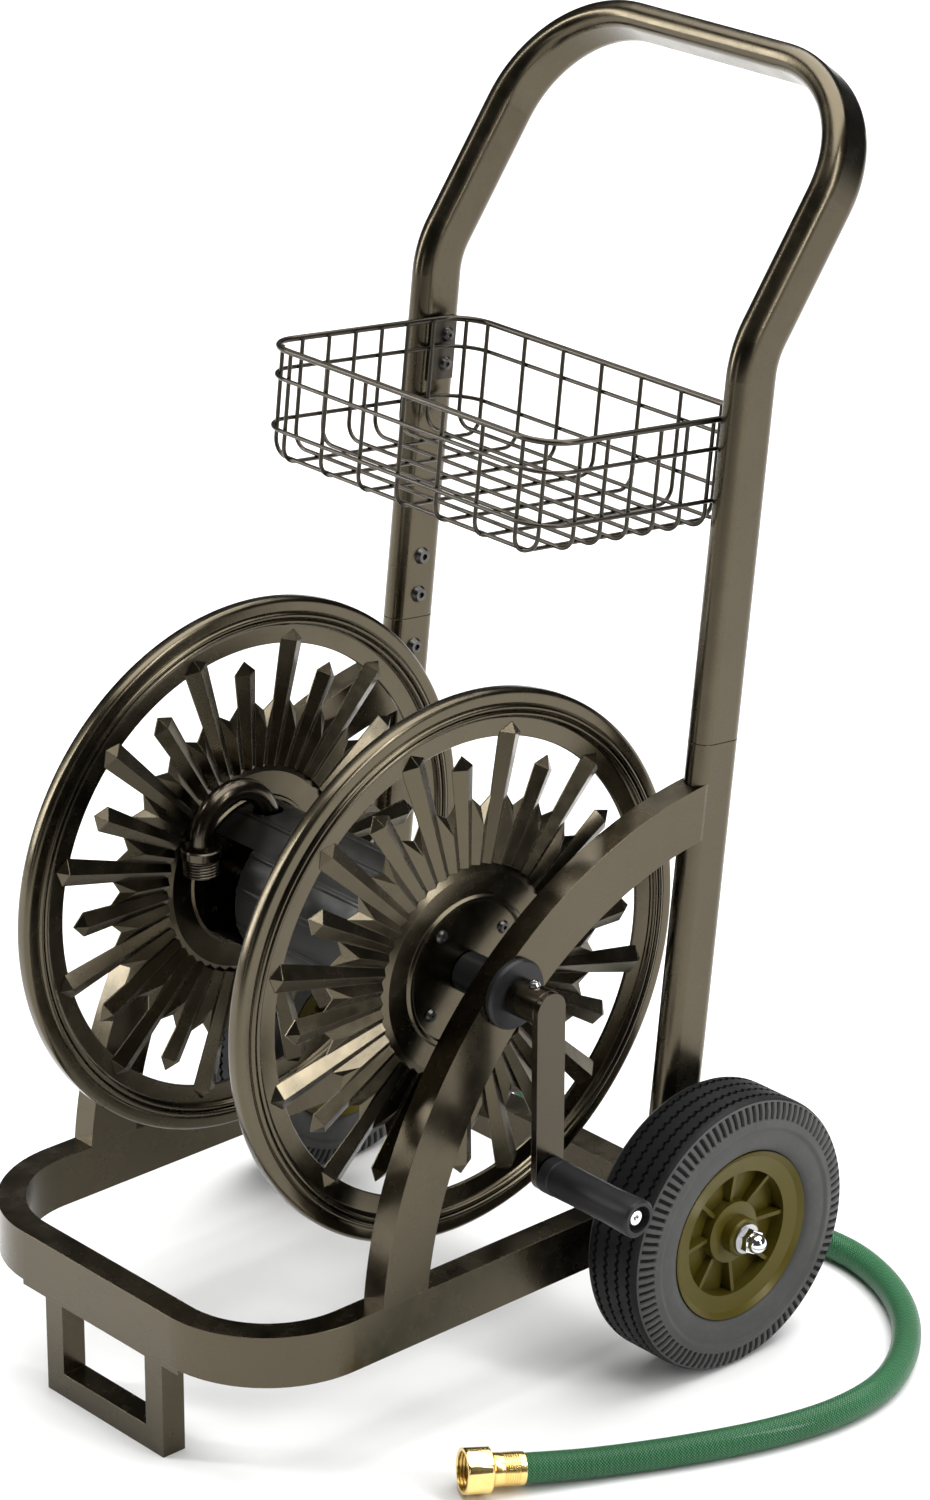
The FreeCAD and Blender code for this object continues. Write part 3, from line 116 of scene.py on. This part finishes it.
class Nodes:
    """Short hand for building one material's node tree."""

    def __init__(self, name):
        self.material = bpy.data.materials.new(name)
        self.material.use_nodes = True
        self.tree = self.material.node_tree
        self.shader = self.tree.nodes["Principled BSDF"]
        self.place = self.tree.nodes.new("ShaderNodeTexCoord").outputs["Object"]

    def link(self, source, target):
        self.tree.links.new(source, target)

    def settings(self, **values):
        """Constants on the shader's own sockets."""
        for key, value in values.items():
            self.shader.inputs[key.replace("_", " ")].default_value = value

    def noise(self, scale, detail, roughness, stretch=None):
        node = self.tree.nodes.new("ShaderNodeTexNoise")
        node.inputs["Scale"].default_value = scale
        node.inputs["Detail"].default_value = detail
        node.inputs["Roughness"].default_value = roughness
        place = self.place
        if stretch is not None:
            mapping = self.tree.nodes.new("ShaderNodeMapping")
            mapping.inputs["Scale"].default_value = stretch
            self.link(place, mapping.inputs["Vector"])
            place = mapping.outputs["Vector"]
        self.link(place, node.inputs["Vector"])
        return node.outputs["Fac"]

    def speckle(self, scale):
        node = self.tree.nodes.new("ShaderNodeTexVoronoi")
        node.inputs["Scale"].default_value = scale
        self.link(self.place, node.inputs["Vector"])
        return node.outputs["Color"]

    def levels(self, value, low, high, out_low, out_high):
        """The value, with low to high spread over out_low to out_high."""
        node = self.tree.nodes.new("ShaderNodeMapRange")
        self.link(value, node.inputs["Value"])
        ends = {"From Min": low, "From Max": high, "To Min": out_low, "To Max": out_high}
        for key, number in ends.items():
            node.inputs[key].default_value = number
        return node.outputs["Result"]

    def math(self, kind, first, second=None):
        node = self.tree.nodes.new("ShaderNodeMath")
        node.operation = kind
        for socket, value in zip(node.inputs, (first, second)):
            if value is None:
                continue
            if isinstance(value, (int, float)):
                socket.default_value = value
            else:
                self.link(value, socket)
        return node.outputs["Value"]

    def mix(self, factor, first, second):
        """A colour between two, each a plain colour or another node's output."""
        node = self.tree.nodes.new("ShaderNodeMix")
        node.data_type = "RGBA"
        if isinstance(factor, (int, float)):
            node.inputs["Factor"].default_value = factor
        else:
            self.link(factor, node.inputs["Factor"])
        for socket, value in ((node.inputs["A"], first), (node.inputs["B"], second)):
            if isinstance(value, tuple):
                socket.default_value = (*value, 1)
            else:
                self.link(value, socket)
        return node.outputs["Result"]

    def bump(self, height, strength, distance, under=None):
        node = self.tree.nodes.new("ShaderNodeBump")
        node.inputs["Strength"].default_value = strength
        node.inputs["Distance"].default_value = distance
        self.link(height, node.inputs["Height"])
        if under is not None:
            self.link(under, node.inputs["Normal"])
        return node.outputs["Normal"]

    def rounded(self, radius):
        """Normals as if every edge had a small radius."""
        node = self.tree.nodes.new("ShaderNodeBevel")
        node.samples = 4
        node.inputs["Radius"].default_value = radius
        return node.outputs["Normal"]

    def edges(self, radius):
        """1 on flat faces, falling towards edges."""
        soft = self.rounded(radius)
        geometry = self.tree.nodes.new("ShaderNodeNewGeometry")
        dot = self.tree.nodes.new("ShaderNodeVectorMath")
        dot.operation = "DOT_PRODUCT"
        self.link(soft, dot.inputs[0])
        self.link(geometry.outputs["Normal"], dot.inputs[1])
        return dot.outputs["Value"]

    def color(self, source):
        self.link(source, self.shader.inputs["Base Color"])

    def roughness(self, source):
        self.link(source, self.shader.inputs["Roughness"])

    def normal(self, source):
        self.link(source, self.shader.inputs["Normal"])


def shade(color, times):
    return tuple(min(1, value * times) for value in color)


def lift(color, amount):
    return tuple(value + amount for value in color)


def bronze(name, base, rough, highlight_strength, edge=0.0006):
    """Satin metallic coat: fine flakes, slight unevenness, and edges painted a little brighter as a highlight."""
    flake_scale, cloud_scale, patch_scale, satin_scale, peel_scale = 2600, 9, 60, 45, 900
    flake_contrast, peel_strength, peel_depth = 0.06, 0.12, 0.0001
    n = Nodes(name)
    n.settings(Metallic=1.0, Coat_Weight=0.15, Coat_Roughness=0.16)
    flakes = n.levels(n.speckle(flake_scale), 0, 1, 1 - flake_contrast, 1 + flake_contrast)
    cloud = n.levels(n.noise(cloud_scale, 4, 0.6), 0.3, 0.7, 0.93, 1.07)
    tone = n.math("MULTIPLY", flakes, cloud)
    body = n.mix(n.levels(tone, 0.4, 1.4, 0, 1), shade(base, 0.6), shade(base, 1.3))
    # Painted highlight: near edges the colour goes towards a brighter copy of the base, in random patches.
    edge_highlight_mask = n.levels(n.edges(edge * 1.6), 0.80, 0.99, highlight_strength, 0)
    patch = n.levels(n.noise(patch_scale, 3, 0.6), 0.35, 0.6, 0.35, 1)
    n.color(n.mix(n.math("MULTIPLY", edge_highlight_mask, patch), body, shade(base, 2.0)))
    n.roughness(n.levels(n.noise(satin_scale, 5, 0.6), 0.3, 0.75, rough - 0.05, rough + 0.08))
    n.normal(n.bump(n.noise(peel_scale, 2, 0.5), peel_strength, peel_depth, n.rounded(edge)))
    return n.material


def plastic(name, base, rough, dust=0.04, **settings):
    """Moulded plastic with a fine texture and a little dust."""
    dust_scale, gloss_scale, grain_scale = 22, 60, 700
    grain_strength, grain_depth, edge = 0.25, 0.0001, 0.0005
    n = Nodes(name)
    n.settings(**settings)
    dusty = n.levels(n.noise(dust_scale, 5, 0.65), 0.42, 0.72, 0, 0.5)
    n.color(n.mix(dusty, base, lift(base, dust * 0.5)))
    n.roughness(n.levels(n.noise(gloss_scale, 4, 0.6), 0.3, 0.7, rough - 0.06, rough + 0.08))
    n.normal(n.bump(n.noise(grain_scale, 2, 0.5), grain_strength, grain_depth, n.rounded(edge)))
    return n.material


def rubber(name, base, rough, dust):
    """Tyre rubber: dull, with grey bloom and fine scuffs."""
    bloom_scale, scuff_scale, gloss_scale, pore_scale = 26, 240, 80, 800
    pore_strength, pore_depth = 0.3, 0.00012
    n = Nodes(name)
    n.settings(Specular_IOR_Level=0.14)
    bloom = n.levels(n.noise(bloom_scale, 6, 0.7), 0.38, 0.72, 0, 1)
    scuff = n.levels(n.noise(scuff_scale, 3, 0.6), 0.5, 0.75, 0, 0.6)
    mask = n.math("MULTIPLY", n.math("ADD", bloom, scuff), 0.5)
    n.color(n.mix(mask, base, lift(base, dust)))
    n.roughness(n.levels(n.noise(gloss_scale, 4, 0.6), 0.3, 0.7, rough - 0.07, rough + 0.1))
    n.normal(n.bump(n.noise(pore_scale, 3, 0.6), pore_strength, pore_depth))
    return n.material


def machined(name, base, rough, stretch, tarnish=None):
    """Bare or plated metal with fine turning marks across the given stretch."""
    spot_scale, mark_scale = 120, 60
    mark_strength, mark_depth, edge = 0.15, 0.00005, 0.0004
    n = Nodes(name)
    n.settings(Metallic=1.0)
    spots = n.levels(n.noise(spot_scale, 5, 0.65), 0.45, 0.75, 0, 0.7)
    n.color(n.mix(spots, base, tarnish or shade(base, 0.75)))
    marks = n.noise(mark_scale, 3, 0.6, stretch=stretch)
    n.roughness(n.levels(marks, 0.3, 0.7, rough - 0.05, rough + 0.1))
    n.normal(n.bump(marks, mark_strength, mark_depth, n.rounded(edge)))
    return n.material


def hose_skin():
    """Clear green skin over a pale braid: two crossing sets of yarns wound along the tube."""
    yarn_pitch, row_pitch, lean = 0.0021, 0.0042, 0.8
    deep_green, bright_green = (0.002, 0.066, 0.016), (0.004, 0.085, 0.023)
    pale_yarn = (0.17, 0.36, 0.22)
    n = Nodes("hose_braid")
    n.settings(Specular_IOR_Level=0.2, Coat_Weight=0.12, Coat_Roughness=0.1)
    place = n.tree.nodes.new("ShaderNodeUVMap")
    place.uv_map = "along"
    split = n.tree.nodes.new("ShaderNodeSeparateXYZ")
    n.link(place.outputs["UV"], split.inputs["Vector"])
    along, around = split.outputs["X"], split.outputs["Y"]
    yarns = []
    for sign in (1, -1):
        wound = n.math("ADD", along, n.math("MULTIPLY", around, sign * lean))
        yarns.append(n.math("SINE", n.math("MULTIPLY", wound, 2 * math.pi / yarn_pitch)))
    over = n.math("SINE", n.math("MULTIPLY", along, 2 * math.pi / row_pitch))
    weave = n.math("MAXIMUM", yarns[0], yarns[1])
    cell = n.math("MULTIPLY", yarns[0], yarns[1])
    height = n.math("ADD", weave, n.math("MULTIPLY", cell, 0.6))
    height = n.math("ADD", height, n.math("MULTIPLY", over, 0.15))
    fibre = n.levels(n.noise(1400, 3, 0.6), 0.3, 0.7, -0.25, 0.25)
    mask = n.levels(n.math("ADD", height, fibre), 0.35, 1.15, 0, 1)
    green = n.mix(n.levels(n.noise(14, 3, 0.5), 0.35, 0.65, 0, 1), deep_green, bright_green)
    n.color(n.mix(n.math("MULTIPLY", mask, 0.5), green, pale_yarn))
    n.roughness(n.levels(mask, 0, 1, 0.42, 0.26))
    n.normal(n.bump(height, 0.55, 0.0005))
    return n.material


BLACK_PLASTIC = {"Specular_IOR_Level": 0.25}
MATERIALS = {
    # The bronzes' edges are painted brighter as a highlight, by the amount given after the roughness.
    "frame_paint": bronze("bronze_frame", (0.076, 0.063, 0.041), 0.25, highlight_strength=0.35),
    "basket_paint": bronze("bronze_wire", (0.050, 0.043, 0.033), 0.34, highlight_strength=0.15, edge=0.0002),
    "flange_bronze": bronze("bronze_flange", (0.080, 0.067, 0.044), 0.24, highlight_strength=0.05),
    "pipe_bronze": bronze("bronze_pipe", (0.060, 0.050, 0.036), 0.22, highlight_strength=0.15),
    "screw_black": machined("screw_black", (0.10, 0.095, 0.09), 0.32, (1, 1, 1)),
    "sleeve_steel": machined("zinc_steel", (0.50, 0.50, 0.51), 0.30, (1, 30, 30)),
    "chrome_parts": machined("bright_plate", (0.86, 0.86, 0.87), 0.07, (1, 1, 1), (0.80, 0.80, 0.82)),
    "brass_parts": machined("turned_brass", (0.93, 0.70, 0.27), 0.18, (6, 40, 40), (0.78, 0.55, 0.19)),
    "drum_black": plastic("drum_plastic", (0.0085, 0.008, 0.007), 0.34, 0.006, **BLACK_PLASTIC),
    "bearing_plastic": plastic("bearing_nylon", (0.012, 0.012, 0.013), 0.38, 0.010, **BLACK_PLASTIC),
    "wheel_plastic": plastic("wheel_olive", (0.078, 0.061, 0.006), 0.36, 0.012, Metallic=0.2,
                             Specular_IOR_Level=0.2, Coat_Weight=0.05, Coat_Roughness=0.2),
    "grip_plastic": plastic("grip_black", (0.010, 0.010, 0.011), 0.42, 0.010, **BLACK_PLASTIC),
    "seal_rubber": plastic("seal_black", (0.012, 0.012, 0.012), 0.6),
    "tyre_rubber": rubber("tyre_side", (0.066, 0.065, 0.064), 0.50, 0.024),
    "hose_rubber": hose_skin(),
}
TREAD = rubber("tyre_tread", (0.0085, 0.0085, 0.009), 0.55, 0.006)
# Darker rubber painted into the groove bottoms and slits as shade.
RECESS_SHADE_RUBBER = rubber("tyre_recess_shade", (0.006, 0.006, 0.0065), 0.7, 0.004)


def finish_cad_nodes():
    """Every CAD node gets its slot's material, and smooth shading between its sharp edges."""
    slots = {row["node"]: row["material_slot"] for row in frame["record"]["subparts"]}
    for name, node in frame["nodes"].items():
        mesh = node.data
        soften(mesh, 30)
        mesh.materials.clear()
        mesh.materials.append(MATERIALS[slots[name]])


# ---- tyres ----
# Lengths are millimetres. A section row holds (radius, along, in a slit, in the zigzag, colour).
# A lug has four rows of points at these shares of its pitch; its slit is cut in the last two.

# The third colour marks strips in groove bottoms and slits, which get the darker rubber as painted shade.
ON_TREAD, ON_SIDE, RECESS_SHADE = 0, 1, 2
LUGS = 96
LUG_ROWS = (0.0, 0.42, 0.52, 0.9)
SLIT_FROM = 2
GROOVES = (-16.5, -5.5, 5.5, 16.5)
GROOVE_DEPTH = 2.6
ZIGZAG = (-1.1, -0.1, 1.1, 0.3)
SLIT_DEPTH = 1.6
TREAD_END = 23.0
SHOULDER_END = 23.95
TREAD_DROP = 5

# Down the side wall: (drop below the tread, along, in a slit, colour of the strip below).
SIDE_WALL = (
    (0.15, 20.6, 0, ON_TREAD), (0.7, 22.4, 0, ON_TREAD), (1.7, 23.9, 0, ON_SIDE),
    (2.6, 25.0, 0, ON_SIDE), (3.0, 25.4, 1, ON_SIDE), (8.5, 27.4, 1, ON_SIDE),
    (14.3, 28.3, 1, ON_SIDE), (14.8, 28.35, 0, ON_SIDE), (17.5, 28.7, 0, ON_SIDE),
    (18.6, 29.15, 0, ON_SIDE), (19.6, 29.2, 0, ON_SIDE), (20.6, 28.9, 0, ON_SIDE),
    (21.6, 28.1, 0, ON_SIDE), (22.6, 27.9, 0, ON_SIDE), (24.5, 28.3, 0, ON_SIDE),
    (30, 28.5, 0, ON_SIDE), (34.5, 27.6, 0, ON_SIDE), (36.7, 26.4, 0, ON_SIDE),
    (38.6, 23.4, 0, ON_SIDE), (40.0, 21.2, 0, ON_SIDE))


def tyre_section(outside):
    """The tyre's closed section: one side wall, the grooved tread, the other side wall."""
    section = [(outside - drop, -along, slit, 0, color)
               for drop, along, slit, color in reversed(SIDE_WALL)]
    bottom = outside - GROOVE_DEPTH
    for middle in GROOVES:
        section += [(outside, middle - 1.5, 0, 1, ON_TREAD), (bottom, middle - 1.0, 0, 1, RECESS_SHADE),
                    (bottom, middle + 0.9, 0, 1, RECESS_SHADE), (outside, middle + 1.4, 0, 1, ON_TREAD)]
    section += [(outside - drop, along, slit, 0, color) for drop, along, slit, color in SIDE_WALL]
    return section


def strip_color(row, ahead, lug_row, outside):
    """Colour of the strip between two section rows."""
    radius, along, slit, _, color = row
    if slit and ahead[2] and lug_row == SLIT_FROM:
        return RECESS_SHADE
    if color == RECESS_SHADE and ahead[4] == RECESS_SHADE:
        return RECESS_SHADE
    near_middle = abs(along) < TREAD_END and abs(ahead[1]) < SHOULDER_END
    return ON_TREAD if near_middle and radius > outside - TREAD_DROP else ON_SIDE


def tyre(side):
    """Tyre with four zigzag grooves and a ring of slits on both shoulders."""
    low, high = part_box(f"tyre_{side}")
    middle = in_mm((low + high) / 2)
    outside = (high.z - low.z) / 2 / MM
    section = tyre_section(outside)
    points = []
    colors = []
    for lug in range(LUGS):
        for lug_row, share in enumerate(LUG_ROWS):
            angle = 2 * math.pi * (lug + share) / LUGS
            c, s = math.cos(angle), math.sin(angle)
            for j, row in enumerate(section):
                radius, along, slit, zigzag, _ = row
                depth = SLIT_DEPTH if slit and lug_row >= SLIT_FROM else 0
                x = along - math.copysign(depth, along) + zigzag * ZIGZAG[lug_row]
                points.append((middle[0] + x, middle[1] + radius * c, middle[2] + radius * s))
                colors.append(strip_color(row, section[(j + 1) % len(section)], lug_row, outside))
    faces = grid_faces(LUGS * len(LUG_ROWS), len(section))
    # The third material is the darker rubber painted into grooves and slits as shade.
    materials = [TREAD, MATERIALS["tyre_rubber"], RECESS_SHADE_RUBBER]
    piece = mesh_object(f"tyre_detailed_{side}", points, faces, materials,
                        smooth_angle=38, face_materials=colors)
    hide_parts(f"tyre_{side}")
    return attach(piece, f"wheel_{side}")


# ---- reel rims ----
# Lengths are millimetres. Profiles are (radius, distance from the flange's middle plane towards
# the crank). A bead starts and turns by these angles, in degrees.

FLANGE_MIDDLE = 113.0
RIM_INSIDE = 164.5
RIM_OUTSIDE = 198.0
RIM_STEPS = 240
BEADS = ((181.0, 5.0, 7.7), (185.4, 5.2, 8.1))
BEAD_HALF = 2.05
BEAD_STEPS = 12
BEAD_ANGLES = (172, 164)


def bead(middle, base, top):
    """One round bead, as an arch over its base."""
    start, turn = BEAD_ANGLES
    angles = [math.radians(start - turn * i / BEAD_STEPS) for i in range(BEAD_STEPS + 1)]
    return [(middle + BEAD_HALF * math.cos(a), base + (top - base) * math.sin(a)) for a in angles]


def flange_rim(side):
    """Rolled ring: flat web, two round beads with tight grooves beside them, flat band, round lip."""
    axle = in_mm(next(joint for joint in frame["joints"] if joint["name"] == "reel_spin")["pos_m"])
    center = (-FLANGE_MIDDLE if side == "left" else FLANGE_MIDDLE, axle[1], axle[2])
    front = [(RIM_INSIDE, 3.5), (RIM_INSIDE + 0.5, 4.0), (176.9, 4.0), (177.7, 4.15), (178.6, 4.9)]
    for row in BEADS:
        front += bead(*row)
    front += [(187.9, 5.7), (188.5, 6.1), (189.2, 6.2), (193.6, 6.2)]
    front += arc((194.2, 2.4), 3.8, 85, 0, 9)
    back = [(RIM_OUTSIDE, -2.4), (197.6, -4.2), (196.2, -5.6), (194.4, -6.2), (179.8, -6.2),
            (178.2, -4.6), (177.6, 1.0), (RIM_INSIDE + 0.5, 1.0), (RIM_INSIDE, 1.5)]
    material = MATERIALS["flange_bronze"]
    piece = spun(f"flange_rim_smooth_{side}", front + back, center, material, RIM_STEPS)
    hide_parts(f"flange_rim_{side}")
    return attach(piece, "reel")


# ---- leader hose ----
# The route is in metres, from the inlet on the cart's left, round its back, to the free end.

HOSE_RADIUS = 0.0104
HOSE_SIDES = 40
HOSE_ROUTE = [
    (-0.192, 0.2585, 0.317), (-0.192, 0.306, 0.317), (-0.196, 0.356, 0.302), (-0.205, 0.402, 0.273),
    (-0.214, 0.445, 0.230), (-0.226, 0.486, 0.172), (-0.228, 0.515, 0.1076), (-0.193, 0.5294, 0.0468),
    (-0.132, 0.5234, HOSE_RADIUS), (-0.068, 0.5015, HOSE_RADIUS), (-0.020, 0.4965, HOSE_RADIUS),
    (0.030, 0.498, HOSE_RADIUS), (0.084, 0.511, HOSE_RADIUS), (0.134, 0.529, HOSE_RADIUS),
    (0.184, 0.538, HOSE_RADIUS), (0.236, 0.524, HOSE_RADIUS), (0.280, 0.497, HOSE_RADIUS),
    (0.314, 0.460, HOSE_RADIUS), (0.337, 0.415, HOSE_RADIUS), (0.341, 0.364, HOSE_RADIUS),
    (0.330, 0.312, HOSE_RADIUS), (0.311, 0.262, HOSE_RADIUS), (0.288, 0.214, HOSE_RADIUS),
    (0.267, 0.171, 0.0122), (0.2444, 0.126, 0.0173)]


def smooth_line(route):
    """Points along the route's NURBS spline."""
    curve = bpy.data.curves.new("hose_line", "CURVE")
    curve.dimensions = "3D"
    spline = curve.splines.new("NURBS")
    spline.points.add(len(route) - 1)
    for point, place in zip(spline.points, route):
        point.co = (*place, 1)
    spline.order_u = 3
    spline.use_endpoint_u = True
    curve.resolution_u = 16
    holder = bpy.data.objects.new("hose_line", curve)
    bpy.context.scene.collection.objects.link(holder)
    bpy.context.view_layer.update()
    line = bpy.data.meshes.new_from_object(holder)
    points = [vertex.co.copy() for vertex in line.vertices]
    bpy.data.objects.remove(holder)
    bpy.data.curves.remove(curve)
    bpy.data.meshes.remove(line)
    return points


def frames_along(points):
    """A steady pair of side directions at each point, carried along without twisting."""
    side = Vector((0, 0, 1))
    result = []
    for i, point in enumerate(points):
        ahead = (points[min(i + 1, len(points) - 1)] - points[max(i - 1, 0)]).normalized()
        side = (side - ahead * side.dot(ahead)).normalized()
        result.append((point, side, ahead.cross(side)))
    return result


def tube(name, points, radius, sides, material):
    """A closed tube along the points, with its unrolled surface as a UV map in metres."""
    places = frames_along(points)
    vertices = []
    lengths = []
    travelled = 0.0
    for i, (point, side, up) in enumerate(places):
        if i:
            travelled += (point - places[i - 1][0]).length
        lengths.append(travelled)
        for k in range(sides):
            angle = 2 * math.pi * k / sides
            vertices.append(point + (side * math.cos(angle) + up * math.sin(angle)) * radius)
    faces = []
    corners = []
    width = 2 * math.pi * radius / sides
    for i in range(len(places) - 1):
        for k in range(sides):
            j = (k + 1) % sides
            faces.append((i * sides + k, (i + 1) * sides + k, (i + 1) * sides + j, i * sides + j))
            corners += [(lengths[i], k * width), (lengths[i + 1], k * width),
                        (lengths[i + 1], (k + 1) * width), (lengths[i], (k + 1) * width)]
    last = (len(places) - 1) * sides
    faces.append(tuple(range(sides)))
    faces.append(tuple(last + k for k in reversed(range(sides))))
    corners += [(0, 0)] * (2 * sides)
    mesh = bpy.data.meshes.new(name)
    mesh.from_pydata(vertices, [], faces)
    layer = mesh.uv_layers.new(name="along")
    layer.data.foreach_set("uv", [value for corner in corners for value in corner])
    soften(mesh, 50)
    return new_object(name, mesh, material)


def placed_round(points, start, way):
    """Points given as (radius, angle, along) round a slanting axis, in millimetres."""
    turn = way.to_track_quat("Z", "Y").to_matrix()
    start = Vector(in_mm(start))
    return [tuple(turn @ Vector((r * math.cos(a), r * math.sin(a), along)) + start)
            for r, a, along in points]


def ferrule(name, end, way):
    """Crimped brass sleeve with fine turned rings, ending at the hose's end."""
    length, outside, inside = 24.0, 11.75, 10.45
    rings, ring_pitch, first_ring = 7, 1.7, 4.2
    groove = outside - 0.42
    sides = 64
    profile = [(inside, -length), (outside - 0.7, -length), (outside - 0.2, -length + 0.5)]
    for k in range(rings):
        low = -length + first_ring + k * ring_pitch
        profile += [(outside, low), (outside, low + 0.8), (groove, low + 1.1), (groove, low + 1.4)]
    profile += [(outside, -6.6), (outside, -1.6), (outside - 0.5, -0.9), (outside - 0.5, 0.0),
                (inside, 0.0)]
    angles = [2 * math.pi * i / sides for i in range(sides)]
    points = placed_round([(r, angle, along) for angle in angles for r, along in profile], end, way)
    faces = grid_faces(sides, len(profile))
    piece = mesh_object(f"ferrule_{name}", points, faces, [MATERIALS["brass_parts"]])
    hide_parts(f"hose_ferrule_{name}")
    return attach(piece, "cart_frame")


def coupling(name, end, way, body):
    """Hexagon swivel nut with chamfered corners, an inner shoulder and a real inner thread."""
    sides, flat, corner = 96, 15.75, 16.85
    start, far = 0.45, 18.85
    bore, depth, pitch, threads = 13.4, 0.8, 2.2, 4
    outer = [(0.90, start), (0.965, start + 0.5), (1.0, start + 1.6),
             (1.0, far - 1.6), (0.965, far - 0.5), (0.93, far)]
    inner = [(bore + 0.35, far), (bore, far - 0.5)]
    for k in range(threads):
        low = far - 1.2 - k * pitch
        inner += [(bore, low), (bore + depth, low - 0.7), (bore + depth, low - 1.2), (bore, low - 1.9)]
    inner += [(bore, start + 7.6), (12.8, start + 7.6), (12.8, start + 3.9), (9.15, start + 3.9),
              (9.15, start)]
    points = []
    for i in range(sides):
        angle = 2 * math.pi * i / sides
        from_face = (angle + math.pi / 6) % (math.pi / 3) - math.pi / 6
        hexagon = flat / math.cos(from_face)
        points += [(min(hexagon, corner * share), angle, along) for share, along in outer]
        points += [(r, angle, along) for r, along in inner]
    faces = grid_faces(sides, len(outer) + len(inner))
    points = placed_round(points, end, way)
    piece = mesh_object(f"coupling_{name}", points, faces, [MATERIALS["brass_parts"]], 28)
    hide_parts(f"coupling_nut_{name}")
    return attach(piece, body)


def hose():
    """The leader hose, with its ferrules, nuts and washers on it."""
    line = smooth_line(HOSE_ROUTE)
    piece = tube("leader_hose_braided", line, HOSE_RADIUS, HOSE_SIDES, MATERIALS["hose_rubber"])
    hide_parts("leader_hose")
    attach(piece, "cart_frame")
    ends = {"inlet": (line[0], (line[0] - line[1]).normalized(), "cart_frame"),
            "outlet": (line[-1], (line[-1] - line[-2]).normalized(), "hose_coupling")}
    on_it = []
    for name, (end, way, body) in ends.items():
        on_it += [ferrule(name, end, way), coupling(name, end, way, body)]
        on_it += [frame["nodes"][f"hose_tail_{name}"], frame["nodes"][f"hose_washer_{name}"]]


# ---- studio ----

CAMERA_PLACE = Vector((2.3937, -1.8446, 1.7709))
CAMERA_TARGET = Vector((-0.1324, 0.4430, 0.3348))
CAMERA_ROLL = math.radians(0.20)
LENS_MM = 120.29
FLOOR_HALF = 16
LIGHT_TARGET = (0, 0.25, 0.4)
WORLD_COLOR = (0.93, 0.96, 1.0, 1)
WORLD_STRENGTH = 0.05


def camera():
    """The photograph's view."""
    data = bpy.data.cameras.new("camera")
    data.lens = LENS_MM
    data.sensor_width = 36
    data.sensor_fit = "AUTO"
    view = new_object("camera", data)
    turn = (CAMERA_TARGET - CAMERA_PLACE).to_track_quat("-Z", "Y").to_matrix()
    turn = turn @ Matrix.Rotation(CAMERA_ROLL, 3, "Z")
    view.matrix_world = Matrix.Translation(CAMERA_PLACE) @ turn.to_4x4()
    bpy.context.scene.camera = view


def floor():
    """Plain pale floor, with a faint unevenness in its tone."""
    n = Nodes("pale_floor")
    tone = n.levels(n.noise(0.7, 2, 0.5), 0.3, 0.7, 0, 1)
    n.color(n.mix(tone, (0.86, 0.86, 0.855), (0.88, 0.88, 0.875)))
    n.settings(Roughness=0.9, Specular_IOR_Level=0.1)
    corners = [(x * FLOOR_HALF, y * FLOOR_HALF, 0) for x, y in ((-1, -1), (1, -1), (1, 1), (-1, 1))]
    mesh = bpy.data.meshes.new("floor")
    mesh.from_pydata(corners, [], [(0, 1, 2, 3)])
    new_object("floor", mesh, n.material)


def area_light(name, place, target, size, power):
    """A rectangular light of the size in metres and the power in watts, turned to the target."""
    data = bpy.data.lights.new(name, "AREA")
    data.shape = "RECTANGLE"
    data.size, data.size_y = size
    data.energy = power
    lamp = new_object(name, data)
    turn = (Vector(target) - Vector(place)).to_track_quat("-Z", "Y").to_matrix()
    lamp.matrix_world = Matrix.Translation(place) @ turn.to_4x4()


def studio():
    """One wide soft light overhead, two narrow strips for the tubes' highlights, and a weak fill."""
    world = bpy.data.worlds.new("studio")
    world.use_nodes = True
    background = world.node_tree.nodes["Background"]
    background.inputs["Color"].default_value = WORLD_COLOR
    background.inputs["Strength"].default_value = WORLD_STRENGTH
    bpy.context.scene.world = world
    area_light("overhead", (-0.9, 2.6, 6.4), (-0.9, 2.6, 0), (9.0, 9.0), 1250)
    area_light("left_strip", (-2.3, -1.9, 1.7), LIGHT_TARGET, (0.40, 2.6), 62)
    area_light("right_strip", (2.7, 1.0, 1.9), LIGHT_TARGET, (0.40, 2.4), 52)
    area_light("front_fill", (0.4, -3.6, 0.9), LIGHT_TARGET, (0.5, 1.2), 5)
    bpy.context.scene.view_settings.view_transform = "Standard"


# ---- everything ----

camera()
hose()
finish_cad_nodes()
for side in ("left", "right"):
    tyre(side)
    flange_rim(side)
floor()
studio()
